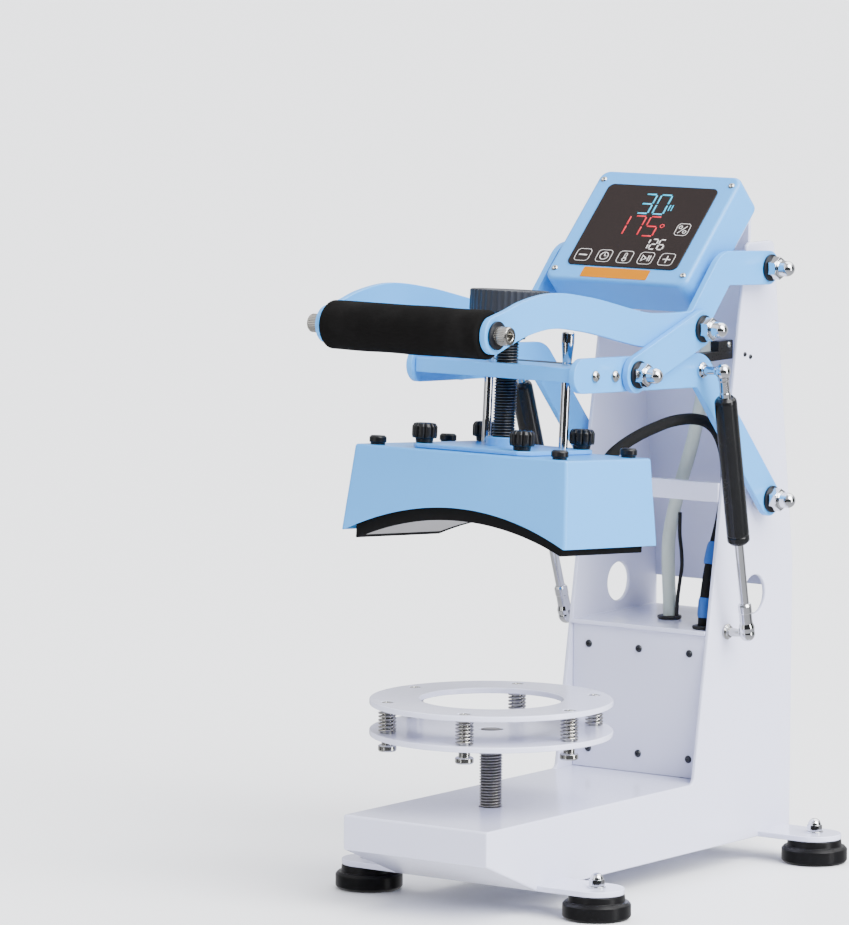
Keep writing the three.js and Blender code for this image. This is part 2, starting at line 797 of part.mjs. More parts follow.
function controlBox() {
  const shell = levelPlate(
    rectangle(0, boxLength / 2, boxWidth, boxLength, boxCorner), -boxThickness, boxThickness, filletSteps * 2,
  );
  const hollow = levelPlate(
    rectangle(0, boxLength / 2, boxWidth - 2 * boxWall, boxLength - 2 * boxWall, boxCorner - boxWall),
    -boxThickness + boxWall, boxThickness - 2 * boxWall, filletSteps,
  );
  const window = levelPlate(
    rectangle(0, boxLength / 2, panelWidth - 2 * panelRim, panelLength - 2 * panelRim), -boxWall - overrun,
    boxWall + 2 * overrun,
  );
  const entryHole = drill(
    controlCableRadius + looseClearance, -boxThickness - overrun, -boxThickness + boxWall + overrun,
  ).translate([controlExitSide, controlExitAlong, 0]);
  return cut(shell, hollow, window, entryHole);
}
box.add(piece('control_box', controlBox(), blueCoat));

function controlPanel() {
  const face = rectangle(0, boxLength / 2, panelWidth, panelLength, panelCorner);
  const board = rectangle(
    0, boxLength / 2, panelWidth - 2 * panelRim - 2 * looseClearance,
    panelLength - 2 * panelRim - 2 * looseClearance,
  );
  return join(
    levelPlate(face, gap, panelThickness, filletSteps),
    levelPlate(board, -boxWall, boxWall + 2 * gap),
  );
}
box.add(piece('control_panel', controlPanel(), panelBlack));

// Cables: a round section carried along a smooth curve
function cable(route, radius, steps) {
  const section = new THREE.Shape();
  for (let side = 0; side < cableSides; side += 1) {
    const angle = (side / cableSides) * Math.PI * 2;
    const [x, y] = [radius * Math.cos(angle), radius * Math.sin(angle)];
    if (side === 0) section.moveTo(x, y);
    else section.lineTo(x, y);
  }
  section.closePath();
  const curve = new THREE.CatmullRomCurve3(route.map((point) => new THREE.Vector3(...point)));
  return toSolid(new THREE.ExtrudeGeometry(section, { steps, extrudePath: curve, bevelEnabled: false }));
}
model.add(piece('control_cable', cable(controlCableRoute, controlCableRadius, controlCableSteps), greySleeve));
model.add(piece('heater_cable', cable(heaterCableRoute, heaterCableRadius, heaterCableSteps), blackSleeve));

// Handle: two plates that join the upper pivot to the grip, drawn in the closed position
const handleStart = armInner;
function handleArm() {
  const wave = [
    [gripPivot.x, gripPivot.y, gripEndRadius],
    [gripPivot.x + waveStep, gripPivot.y + waveStep / 4, armHalfWidth],
    [gripPivot.x + 2 * waveStep, gripPivot.y + waveStep / 2, armHalfWidth],
    [gripPivot.x + 3.9 * waveStep, gripPivot.y + waveStep * 0.68, armHalfWidth],
    [gripPivot.x + 6.4 * waveStep, gripPivot.y + waveStep * 0.36, armHalfWidth],
    [linkPivot.x - 3.5 * waveStep, linkPivot.y + waveStep * 0.17, armHalfWidth],
    [linkPivot.x, linkPivot.y, armHalfWidth],
  ];
  const spine = new THREE.SplineCurve(wave.map(([y, z]) => new THREE.Vector2(y, z)));
  const steps = (wave.length - 1) * 4;
  const above = [];
  const below = [];
  for (let step = 0; step <= steps; step += 1) {
    const share = step / steps;
    const place = share * (wave.length - 1);
    const near = Math.min(Math.floor(place), wave.length - 2);
    const half = THREE.MathUtils.lerp(wave[near][2], wave[near + 1][2], place - near);
    const point = spine.getPoint(share);
    const along = spine.getTangent(share);
    above.push([point.x - along.y * half, point.y + along.x * half]);
    below.unshift([point.x + along.y * half, point.y - along.x * half]);
  }
  const ribbon = outline([...above, ...below]);
  const end = armInner + armThickness;
  const plate = (shape, steps2) => sidePlate(shape, handleStart, armThickness, steps2);
  const gripEnd = stadium(gripPivot, gripPivot.clone().add(new THREE.Vector2(gap, 0)), gripEndRadius);
  const body = join(
    plate(ribbon),
    plate(gripEnd),
    plate(stadium(linkPivot, handleKnee, armHalfWidth)),
    plate(stadium(handleKnee, upperPivot, armHalfWidth)),
  );
  return cut(
    body,
    crossBore(upperPivot, pivotRadius + boreClearance, armInner, end),
    crossBore(linkPivot, pivotRadius + boreClearance, armInner, end),
    crossBore(gripPivot, gripBoltRadius + boreClearance, armInner, end),
  );
}
for (const [sideName, side] of bothSides) {
  model.add(piece(`handle_arm_${sideName}`, mirrored(handleArm(), side), blueCoat));
}

// Grip bar with its two socket-head bolts, and the foam sleeve over it
function gripBar() {
  const headFoot = armOuter + gap;
  const headTop = headFoot + washerThickness + gripHeadLength;
  const end = join(
    crossBar(gripBoltRadius, 0, headTop - gripSocketDepth - overrun),
    crossBar(washerRadius, headFoot, headFoot + washerThickness),
    cut(
      crossBar(gripHeadRadius, headFoot, headTop),
      toSolid(turned([
        [0, headTop - gripSocketDepth], [gripSocketAcross / 2, headTop - gripSocketDepth],
        [gripSocketAcross / 2, headTop + overrun], [0, headTop + overrun],
      ], 6).rotateY(Math.PI / 2)),
    ),
  );
  return join(crossBar(gripBarRadius, -armInner + gap, armInner - gap), end, end.mirror([1, 0, 0]));
}
const gripPlace = [0, gripPivot.x, gripPivot.y];
const gripMesh = piece('grip_bar', gripBar(), chrome);
gripMesh.position.set(...gripPlace);
model.add(gripMesh);

function foamGrip() {
  const [start, end] = [-armInner + 2 * gap, armInner - 2 * gap];
  const bore = gripBarRadius + boreClearance;
  return turnedAcross([[bore, start], [gripRadius, start], [gripRadius, end], [bore, end], [bore, start]]);
}
const foamMesh = piece('foam_grip', foamGrip(), foam);
foamMesh.position.set(...gripPlace);
model.add(foamMesh);

// Bolts that join the handle to the toggle links: a flush head inside, a cap nut outside
function linkBolt() {
  return join(
    crossBar(pivotRadius, armInner, linkOuter + overrun),
    capNut(linkOuter + gap),
  );
}
for (const [sideName, side] of bothSides) {
  const bolt = piece(`link_bolt_${sideName}`, mirrored(linkBolt(), side), chrome);
  bolt.position.set(0, linkPivot.x, linkPivot.y);
  model.add(bolt);
}

// Toggle links, each with its own pin, washer and cap nut at the lower end
function toggleLink() {
  const plate = sidePlate(stadium(linkShaft, linkPivot, linkHalfWidth), linkInner, linkThickness);
  return join(
    cut(plate, crossBore(linkPivot, pivotRadius + boreClearance, linkInner, linkOuter)),
    capNut(linkOuter).translate([0, linkShaft.x, linkShaft.y]),
    crossBar(pivotRadius, linkInner, linkOuter + overrun).translate([0, linkShaft.x, linkShaft.y]),
  );
}
for (const [sideName, side] of bothSides) {
  model.add(piece(`toggle_link_${sideName}`, mirrored(toggleLink(), side), blueCoat));
}

// Lower arm frame: its origin is the lower pivot, and it is level before it is tilted
const arm = new THREE.Group();
arm.position.set(0, lowerPivot.x, lowerPivot.y);
arm.rotation.x = -armTilt;
model.add(arm);

function platenArm() {
  const heel = new THREE.Vector2(0, 0);
  const elbow = new THREE.Vector2(-gasTopReach, gasTopRise);
  const toe = new THREE.Vector2(-armTabReach, armTabRise);
  const shaftPlace = new THREE.Vector2(-linkShaftReach, linkShaftRise);
  return cut(
    join(
      sidePlate(stadium(heel, elbow, armHalfWidth), armInner, armThickness),
      sidePlate(stadium(elbow, toe, armHalfWidth), armInner, armThickness),
    ),
    crossBore(heel, pivotRadius + boreClearance, armInner, armOuter),
    crossBore(shaftPlace, pivotRadius + boreClearance, armInner, armOuter),
  );
}
for (const [sideName, side] of bothSides) {
  arm.add(piece(`platen_arm_${sideName}`, mirrored(platenArm(), side), blueCoat));
}

function carrierPlate() {
  const bore = (x, y, radius) => drill(
    radius, carrierRise - overrun, carrierRise + carrierThickness + overrun, turnedSides,
  ).translate([x, y, 0]);
  return cut(
    block(0, -carrierFront, carrierRise, 2 * (armInner - gap), carrierDepth, carrierThickness),
    bore(0, -headReach, screwRadius + boreClearance),
    bore(-guideSpan / 2, -headReach + guideSetback, guideHeadRadius + looseClearance),
    bore(guideSpan / 2, -headReach + guideSetback, guideHeadRadius + looseClearance),
  );
}
arm.add(piece('carrier_plate', carrierPlate(), blueCoat));

const linkShaftMesh = piece('link_shaft', crossBar(pivotRadius, -armOuter, armOuter), blackSteel);
linkShaftMesh.position.set(0, -linkShaftReach, linkShaftRise);
arm.add(linkShaftMesh);

// Heater head: its origin is the middle of the cover's lower edge
const heater = new THREE.Group();
heater.position.set(0, -headReach, -headDrop);
arm.add(heater);

// An arc that hangs over a span, from its rise in the middle to its rise at the ends
function archRadius(halfSpan, rise) {
  return (halfSpan * halfSpan + rise * rise) / (2 * rise);
}
function archCutter(halfSpan, peak, end, reach) {
  const radius = archRadius(halfSpan, peak - end);
  const shape = new THREE.Shape();
  const sweep = Math.asin(halfSpan / radius);
  shape.absarc(0, peak - radius, radius, Math.PI / 2 - sweep, Math.PI / 2 + sweep, false);
  shape.lineTo(-halfSpan, end - reach);
  shape.lineTo(halfSpan, end - reach);
  shape.closePath();
  return shape;
}

// A four-sided block that tapers evenly from its lower to its upper size
function tapered(bottomWidth, bottomDepth, topWidth, topDepth, foot, top) {
  const geometry = new THREE.BoxGeometry(1, 1, 1);
  const place = geometry.attributes.position;
  for (let i = 0; i < place.count; i += 1) {
    const up = place.getZ(i) > 0;
    place.setXYZ(
      i,
      place.getX(i) * (up ? topWidth : bottomWidth),
      place.getY(i) * (up ? topDepth : bottomDepth),
      up ? top : foot,
    );
  }
  return toSolid(geometry);
}

const coverTaperX = (coverBottomWidth - coverTopWidth) / coverHeight;
const coverTaperY = (coverBottomDepth - coverTopDepth) / coverHeight;
const clampFoot = coverHeight + gap;
const clampTop = clampFoot + clampThickness;
const thumbPlaces = [];
for (const [sideName, side] of bothSides) {
  for (const [rowName, row] of [['front', -1], ['rear', 1]]) {
    thumbPlaces.push([`${rowName}_${sideName}`, side * thumbSpanX / 2, row * thumbSpanY / 2]);
  }
}

function platenCover() {
  const shell = tapered(coverBottomWidth, coverBottomDepth, coverTopWidth, coverTopDepth, 0, coverHeight);
  const innerTop = coverHeight - coverSheet;
  const below = -overrun;
  const at = (size, taper, z) => size - taper * z - 2 * coverSheet;
  const hollow = tapered(
    at(coverBottomWidth, coverTaperX, below), at(coverBottomDepth, coverTaperY, below),
    at(coverBottomWidth, coverTaperX, innerTop), at(coverBottomDepth, coverTaperY, innerTop),
    below, innerTop,
  );
  const arch = frontPlate(
    archCutter(archHalfSpan, archRise, 0, overrun), coverBottomDepth / 2 + overrun,
    coverBottomDepth + 2 * overrun, arcSteps + filletSteps,
  );
  const holes = thumbPlaces.map(([, x, y]) => drill(
    thumbStudRadius + boreClearance, innerTop - overrun, coverHeight + overrun,
  ).translate([x, y, 0]));
  return cut(shell, hollow, arch, ...holes);
}
heater.add(piece('platen_cover', platenCover(), blueCoat));

// Insulation block that fills the cover, with a pocket in its arched underside for the platen
const blockTop = coverHeight - coverSheet - gap;
const pocketWidth = blockWidth - 2 * platenMargin;
const pocketDepth = blockDepth - 2 * platenMargin;
const platenArc = archRadius(blockWidth / 2, blockArchPeak - blockArchEnd);

// A curved slab under the arch, between two depths measured outwards from its radius
function archSlab(width, depth, from, to) {
  const shape = new THREE.Shape();
  const inner = platenArc + from;
  const outer = platenArc + to;
  const centre = blockArchPeak - platenArc;
  const sweepIn = Math.asin(width / 2 / inner);
  const sweepOut = Math.asin(width / 2 / outer);
  shape.absarc(0, centre, outer, Math.PI / 2 - sweepOut, Math.PI / 2 + sweepOut, false);
  shape.absarc(0, centre, inner, Math.PI / 2 + sweepIn, Math.PI / 2 - sweepIn, true);
  shape.closePath();
  return frontPlate(shape, depth / 2, depth, arcSteps + filletSteps);
}

function insulationBlock() {
  const body = block(0, -blockDepth / 2, blockArchEnd, blockWidth, blockDepth, blockTop - blockArchEnd);
  const arch = frontPlate(
    archCutter(blockWidth / 2, blockArchPeak, blockArchEnd, overrun), blockDepth / 2 + overrun,
    blockDepth + 2 * overrun, arcSteps + filletSteps,
  );
  return cut(body, arch, archSlab(pocketWidth, pocketDepth, -overrun, platenThickness + gap));
}
heater.add(piece('insulation_block', insulationBlock(), blackPlastic));
heater.add(piece(
  'heating_platen',
  archSlab(pocketWidth - 2 * gap, pocketDepth - 2 * gap, gap, platenThickness),
  aluminium,
));

function clampPlate() {
  const [halfW, halfD] = [clampWidth / 2, clampDepth / 2];
  const shape = outline([
    [-halfW + clampCorner, -halfD], [halfW - clampCorner, -halfD], [halfW, -halfD + clampCorner],
    [halfW, halfD - clampCorner], [halfW - clampCorner, halfD], [-halfW + clampCorner, halfD],
    [-halfW, halfD - clampCorner], [-halfW, -halfD + clampCorner],
  ]);
  const hole = (x, y, radius, foot = clampFoot - overrun, sides = smallSides) => drill(
    radius, foot, clampTop + thrustHeight + overrun, sides,
  ).translate([x, y, 0]);
  return cut(
    join(
      levelPlate(shape, clampFoot, clampThickness),
      bar(thrustRadius, clampTop - clampThickness / 2, clampTop + thrustHeight),
    ),
    ...thumbPlaces.map(([, x, y]) => hole(x, y, thumbStudRadius + boreClearance)),
    hole(-guideSpan / 2, guideSetback, guideRadius + boreClearance),
    hole(guideSpan / 2, guideSetback, guideRadius + boreClearance),
    hole(0, 0, screwRadius + boreClearance, clampTop, turnedSides),
  );
}
heater.add(piece('clamp_plate', clampPlate(), blueCoat));

function thumbKnob() {
  const foot = clampTop + gap;
  const neckTop = foot + thumbNeckHeight;
  const top = neckTop + thumbHeight;
  const stud = coverHeight - coverSheet;
  const bevel = thumbRadius / 8;
  return turnedUp([
    [0, stud], [thumbStudRadius, stud], [thumbStudRadius, foot], [thumbNeckRadius, foot],
    [thumbNeckRadius, neckTop], [thumbRadius, neckTop], [thumbRadius, top - bevel],
    [thumbRadius - bevel, top], [0, top],
  ]);
}
for (const [name, x, y] of thumbPlaces) {
  const knob = piece(`thumb_knob_${name}`, thumbKnob(), blackPlastic);
  knob.position.set(x, y, 0);
  heater.add(knob);
}

function guideRod() {
  const top = headDrop + guideTop;
  return turnedUp([
    [0, clampFoot + gap], [guideRadius, clampFoot + gap], [guideRadius, top - guideHeadLength],
    [guideHeadRadius, top - guideHeadLength / 2], [guideHeadRadius, top], [0, top],
  ]);
}
for (const [sideName, side] of bothSides) {
  const rod = piece(`guide_rod_${sideName}`, guideRod(), chrome);
  rod.position.set(side * guideSpan / 2, guideSetback, 0);
  heater.add(rod);
}

// Pressure screw and its hand knob, in the heater head's frame
const knobFoot = headDrop + knobFootRise;
const pressureScrew = bar(screwRadius, clampTop + gap, headDrop + screwTop);
heater.add(piece('pressure_screw', pressureScrew, blackSteel));

function pressureKnob() {
  const rimFoot = knobFoot + knobHubHeight;
  const top = rimFoot + knobRimHeight;
  const bore = screwRadius + gap;
  const boreTop = headDrop + screwTop + gap;
  return turnedUp([
    [bore, knobFoot], [knobHubRadius, knobFoot], [knobHubRadius, top - knobWebHeight],
    [knobRadius - knobRimWall, top - knobWebHeight], [knobRadius - knobRimWall, rimFoot],
    [knobRadius, rimFoot], [knobRadius, top - gap], [knobRadius - gap, top], [0, top],
    [0, boreTop], [bore, boreTop], [bore, knobFoot],
  ], turnedSides + smallSides);
}
heater.add(piece('pressure_knob', pressureKnob(), slatePlastic));

// Gas springs. The cylinder hangs from a ball stud on the lower arm, and its rod stands on a
// ball stud on the frame. Both are drawn along the line between the two studs.
const gasTopPoint = new THREE.Vector3(gasTopOffset, gasTop.x, gasTop.y);
const gasFootPoint = new THREE.Vector3(gasFootOffset, gasFoot.x, gasFoot.y);
const alongGas = (from, to) => new THREE.Matrix4().compose(
  from,
  new THREE.Quaternion().setFromUnitVectors(axisZ, to.clone().sub(from).normalize()),
  new THREE.Vector3(1, 1, 1),
);
const turnedAlong = (profile, matrix) => toSolid(turned(profile).applyMatrix4(matrix));

// A ball stud from a face at x = seat to its ball at point
function ballStud(seat, point) {
  const profile = [
    [0, seat], [studFlangeRadius, seat], [studFlangeRadius, seat + studFlangeHeight],
    [studRadius, seat + studFlangeHeight], [studRadius, point.x],
    [0, point.x],
  ];
  return join(
    turnedAcross(profile, smallSides).translate([0, point.y, point.z]),
    toSolid(new THREE.SphereGeometry(ballRadius, smallSides, smallSides / 2)
      .translate(point.x, point.y, point.z)),
  );
}

function gasCylinder() {
  const end = cylinderStart + cylinderLength;
  const gland = rodRadius + glandClearance;
  const profile = [
    [0, 0], [cylinderNeckRadius, 0], [cylinderNeckRadius, cylinderStart], [cylinderRadius, cylinderStart],
    [cylinderRadius, end], [gland, end], [gland, end - glandLength],
    [cylinderBore, end - glandLength], [cylinderBore, cylinderStart + glandLength],
    [0, cylinderStart + glandLength],
  ];
  return join(
    turnedAlong(profile, alongGas(gasTopPoint, gasFootPoint)),
    ballStud(armOuter + gap, gasTopPoint),
  );
}

function gasRod() {
  const profile = [
    [0, 0], [rodNeckRadius, 0], [rodNeckRadius, rodNeckLength], [rodRadius, rodNeckLength],
    [rodRadius, rodLength], [0, rodLength],
  ];
  return join(
    turnedAlong(profile, alongGas(gasFootPoint, gasTopPoint)),
    ballStud(halfFrame + gap, gasFootPoint),
  );
}
for (const [sideName, side] of bothSides) {
  model.add(piece(`gas_cylinder_${sideName}`, mirrored(gasCylinder(), side), gasBlack));
  model.add(piece(`gas_rod_${sideName}`, mirrored(gasRod(), side), chrome));
}

// Ball support: its origin is the support screw's axis at floor level
const support = new THREE.Group();
support.position.set(0, supportDepth, 0);
model.add(support);

const lowerPlateTop = lowerPlateHeight + supportThickness;
const upperPlateTop = upperPlateHeight + supportThickness;
const boltPlaces = [];
for (let i = 0; i < springCount; i += 1) {
  const angle = firstBoltAngle + i * 2 * Math.PI / springCount;
  boltPlaces.push([boltCircleRadius * Math.cos(angle), boltCircleRadius * Math.sin(angle)]);
}

function supportPlate(foot, centreRadius) {
  const disc = new THREE.Shape();
  const step = 2 * Math.PI / plateSides;
  for (let i = 0; i < plateSides; i += 1) {
    const [x, y] = [supportRadius * Math.cos(i * step), supportRadius * Math.sin(i * step)];
    if (i === 0) disc.moveTo(x, y);
    else disc.lineTo(x, y);
  }
  disc.closePath();
  const hole = (x, y, radius, sides) => drill(
    radius, foot - overrun, foot + supportThickness + overrun, sides,
  ).translate([x, y, 0]);
  return cut(
    levelPlate(disc, foot, supportThickness),
    hole(0, 0, centreRadius, centreRadius > seatRadius / 2 ? plateSides : turnedSides),
    ...boltPlaces.map(([x, y]) => hole(x, y, boltRadius + looseClearance)),
  );
}
const supportScrew = bar(supportScrewRadius, supportScrewFoot, lowerPlateTop);
support.add(piece('support_screw', supportScrew, darkZinc));
support.add(piece(
  'lower_support_plate', supportPlate(lowerPlateHeight, supportScrewRadius + boreClearance), whiteCoat,
));
support.add(piece('upper_support_plate', supportPlate(upperPlateHeight, seatRadius), whiteCoat));

// A compression spring about Z: one unbroken tube that climbs evenly, with short level ends
function spring() {
  const foot = lowerPlateTop + gap + springWire / 2;
  const top = upperPlateHeight - gap - springWire / 2;
  const coil = springRadius - springWire / 2;
  const stepsPerTurn = 8;
  const sides = 5;
  const steps = springTurns * stepsPerTurn;
  const pitch = (top - foot) / springTurns;
  const centres = [];
  for (let step = 0; step <= steps; step += 1) {
    const angle = step / stepsPerTurn * 2 * Math.PI;
    const height = foot + (top - foot) * step / steps;
    centres.push([coil * Math.cos(angle), coil * Math.sin(angle), height, angle]);
  }
  const positions = [];
  for (const [x, y, z, angle] of centres) {
    for (let side = 0; side < sides; side += 1) {
      const turn = side / sides * 2 * Math.PI;
      const out = springWire / 2 * Math.cos(turn);
      positions.push(x + out * Math.cos(angle), y + out * Math.sin(angle), z + springWire / 2 * Math.sin(turn));
    }
  }
  const index = [];
  for (let step = 0; step < steps; step += 1) {
    for (let side = 0; side < sides; side += 1) {
      const a = step * sides + side;
      const b = step * sides + (side + 1) % sides;
      index.push(a, b, a + sides, b, b + sides, a + sides);
    }
  }
  for (let side = 1; side < sides - 1; side += 1) {
    index.push(0, side + 1, side);
    const last = steps * sides;
    index.push(last, last + side, last + side + 1);
  }
  const geometry = new THREE.BufferGeometry();
  geometry.setAttribute('position', new THREE.Float32BufferAttribute(positions, 3));
  geometry.setIndex(index);
  return { solid: toSolid(geometry), selfGap: pitch - springWire };
}

// Captive bolt that guides a spring: its shank slides in the lower plate
function springBolt() {
  const headTop = lowerPlateHeight - boltHang + boltHeadHeight;
  const headFoot = headTop - boltHeadHeight;
  return turnedUp([
    [0, headFoot], [boltHeadRadius, headFoot], [boltHeadRadius, headTop], [boltRadius, headTop],
    [boltRadius, upperPlateTop], [0, upperPlateTop],
  ], smallSides);
}
const coil = spring();
console.log(`least gap of a spring to itself: ${coil.selfGap.toFixed(2)} mm`);
boltPlaces.forEach(([x, y], i) => {
  const springMesh = piece(`support_spring_${i + 1}`, coil.solid, springSteel);
  springMesh.position.set(x, y, 0);
  support.add(springMesh);
  const bolt = piece(`spring_bolt_${i + 1}`, springBolt(), chrome);
  bolt.position.set(x, y, 0);
  support.add(bolt);
});

// The origin is the middle of the footprint, on the floor
const bounds = new THREE.Box3().setFromObject(model);
model.position.y = -(bounds.min.y + bounds.max.y) / 2;

export default model;
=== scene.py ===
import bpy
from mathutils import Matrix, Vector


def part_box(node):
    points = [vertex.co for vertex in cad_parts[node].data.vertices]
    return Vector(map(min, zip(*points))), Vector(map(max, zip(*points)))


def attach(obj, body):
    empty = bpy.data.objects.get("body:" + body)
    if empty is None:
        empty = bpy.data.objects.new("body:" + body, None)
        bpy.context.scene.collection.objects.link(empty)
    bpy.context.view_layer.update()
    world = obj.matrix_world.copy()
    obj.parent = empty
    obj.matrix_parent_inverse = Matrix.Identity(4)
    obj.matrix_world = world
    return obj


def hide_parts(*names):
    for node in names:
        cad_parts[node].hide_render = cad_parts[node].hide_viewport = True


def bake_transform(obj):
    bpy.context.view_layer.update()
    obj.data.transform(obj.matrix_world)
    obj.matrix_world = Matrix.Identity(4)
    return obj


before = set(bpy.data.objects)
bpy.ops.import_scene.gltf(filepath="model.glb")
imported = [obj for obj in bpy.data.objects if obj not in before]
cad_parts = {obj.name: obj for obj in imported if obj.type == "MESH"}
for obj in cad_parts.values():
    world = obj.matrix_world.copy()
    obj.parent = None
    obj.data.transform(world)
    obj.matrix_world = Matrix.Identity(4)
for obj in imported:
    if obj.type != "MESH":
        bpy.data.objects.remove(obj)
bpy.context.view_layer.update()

import math

import bpy
import numpy as np
from bpy.props import FloatProperty, FloatVectorProperty, IntProperty, PointerProperty
from mathutils import Matrix
from mathutils.geometry import tessellate_polygon

bl_info = {
    "name": "Ball heat press",
    "version": (1, 0, 0),
    "blender": (4, 5, 0),
    "location": "3D View > Sidebar > Heat press",
    "description": "Builds the visible surfaces and finishes of a benchtop ball heat press",
    "category": "Object",
}

# Lengths are in millimetres. X runs across the machine, Y from the front face of the base to
# its back, and Z up from the floor. Meshes are scaled to metres when they are made.
MM = 0.001
TURN = 2 * math.pi
GAP = 0.3

# Welded frame
FRAME_WIDTH = 150.0
SHEET = 4.0
THIN_SHEET = 2.5
FRAME_DEPTH = 475.0
DECK_HEIGHT = 82.0
FACE_HEIGHT = 30.0
LIP_DEPTH = 76.0
COLUMN_FOOT = 316.5
HEAD_HEIGHT = 556.0
HEAD_FRONT = 394.0
HEAD_REAR = 438.0
HEAD_CORNER = 7.0
KNEE_HEIGHT = 265.0
WINDOW_TOP = 241.0
SHELF_HEIGHT = 215.0
SHELF_FRONT = 337.0
BRACE_HEIGHT = 17.0
BRACE_CENTRE = 336.5
BRACE_DEPTH = 8.0
SIDE_HOLE = (412.5, 241.0, 17.5)
HALF_FRAME = FRAME_WIDTH / 2
INNER_FACE = HALF_FRAME - SHEET

# Feet
FOOT_HEIGHT = 21.0
FOOT_RADIUS = 29.5
FOOT_SPREAD = 120.0
FOOT_DEPTHS = (("front", 99.0), ("rear", 445.5))
TAB_RADIUS = 24.0
TAB_THICKNESS = 5.0
SCREW_NOTCH = 16.0
FOOT_NUT_ACROSS = 12.0

# Pivots of the linkage as (y, z) with the press closed, and its layers outwards in X
UPPER_PIVOT = (411.0, 533.5)
LOWER_PIVOT = (416.5, 327.0)
LINK_PIVOT = (292.5, 488.0)
ARM_TILT = math.radians(4)
ARM_INNER = HALF_FRAME + 7.0
ARM_THICKNESS = 6.0
ARM_OUTER = ARM_INNER + ARM_THICKNESS
LINK_INNER = ARM_OUTER + 1.0
LINK_OUTER = LINK_INNER + 6.0
ARM_HALF_WIDTH = 15.0
LINK_HALF_WIDTH = 16.0
PIVOT_RADIUS = 6.0
SPACER_RADIUS = 11.0
WASHER_RADIUS = 12.0
WASHER_THICKNESS = 2.5
NUT_ACROSS = 18.0
NUT_LENGTH = 22.0

# Lower arms, along and above the level arm from the lower pivot
HEAD_REACH = 293.5
HEAD_DROP = 33.0
GAS_TOP_REACH = 122.5
GAS_TOP_RISE = 115.5
ARM_TOE = (HEAD_REACH + 11.0, 111.0)
LINK_SHAFT = (HEAD_REACH - 60.9, 112.5)
CARRIER_FRONT = HEAD_REACH + 21.0
CARRIER_DEPTH = 72.0
CARRIER_THICKNESS = 12.5
CARRIER_RISE = 105.0
CARRIER_SCREWS = (288.0, 257.8)

# Handle
GRIP_PIVOT = (-10.0, 503.0)
GRIP_END_RADIUS = 16.0
WAVE_STEP = 21.5
HANDLE_KNEE = (340.0, 537.5)
GRIP_RADIUS = 21.0
GRIP_BAR_RADIUS = 12.5
GRIP_HEAD_RADIUS = 8.0
GRIP_HEAD_LENGTH = 12.0
GRIP_SOCKET = 8.0

# Heater head, from the middle of its lower edge
COVER_HEIGHT = 74.5
COVER_TOP = (221.6, 128.6)
COVER_BOTTOM = (234.4, 140.4)
COVER_SHEET = 2.0
ARCH_RISE = 26.7
ARCH_HALF_SPAN = 113.0
BLOCK_WIDTH = 214.0
BLOCK_DEPTH = 124.0
BLOCK_ARCH_PEAK = 15.7
BLOCK_ARCH_END = -6.5
PLATEN_MARGIN = 6.0
PLATEN_THICKNESS = 9.0
CLAMP = (122.0, 110.0, 4.0)
CLAMP_CORNER = 8.0
CLAMP_FOOT = COVER_HEIGHT + GAP
CLAMP_TOP = CLAMP_FOOT + CLAMP[2]
THRUST_RADIUS = 15.0
THRUST_HEIGHT = 8.0
THUMB_SPANS = (102.0, 90.0)
THUMB_RADIUS = 11.0
THUMB_HEIGHT = 17.0
VENT_CAPS = (95.0, 52.0)
SCREW_RADIUS = 10.0
SCREW_PITCH = 2.5
KNOB_HUB_RADIUS = 15.0
SCREW_TOP = HEAD_DROP + 147.0
KNOB_FOOT = HEAD_DROP + 138.0
KNOB_RADIUS = 34.5
GUIDE_RADIUS = 4.0
GUIDE_HEAD_RADIUS = 5.5
GUIDE_SPAN = 81.0
GUIDE_SETBACK = 32.0
GUIDE_TOP = HEAD_DROP + 146.0

# Gas springs
GAS_TOP_OFFSET = 110.0
GAS_FOOT = (97.0, 366.5, 212.5)
BALL_RADIUS = 7.0
CYLINDER_RADIUS = 10.0
CYLINDER_START = 24.0
CYLINDER_LENGTH = 137.0
ROD_RADIUS = 4.0
ROD_LENGTH = 205.0
ROD_NECK = 29.0

# Ball support
SUPPORT_DEPTH = 112.0
SUPPORT_RADIUS = 105.0
SUPPORT_THICKNESS = 5.0
LOWER_PLATE = 144.5
UPPER_PLATE = 171.0
SEAT_RADIUS = 62.0
BOLT_CIRCLE = 92.5
SPRING_COUNT = 6
FIRST_BOLT = math.radians(-9)
SPRING_RADIUS = 8.0
SPRING_WIRE = 1.8
SPRING_TURNS = 7
SUPPORT_SCREW_FOOT = 38.0

# Control box: X across, Y up the slope and Z out of its face
BOX_FACE_FOOT = (293.0, 524.0)
BOX_SLOPE = math.atan2(91.0, 93.5)
BOX_LENGTH = 130.5
BOX_THICKNESS = 38.0
BOX_CORNER = 9.0
PANEL = (FRAME_WIDTH - 33.6, BOX_LENGTH - 34.0)
PRINT_LEVEL = 1.1
BOX_SCREW_INSET = (7.3, 11.9)

# Electrical pieces
INLET_OFFSET = 34.0
INLET_HEIGHT = 130.0
ROCKER_PIVOT = 471.0
ROCKER_SIZE = (13.0, 26.0, 12.0)
ROCKER_TILT = math.radians(8)
BOARD = (112.0, 76.0, 1.6)

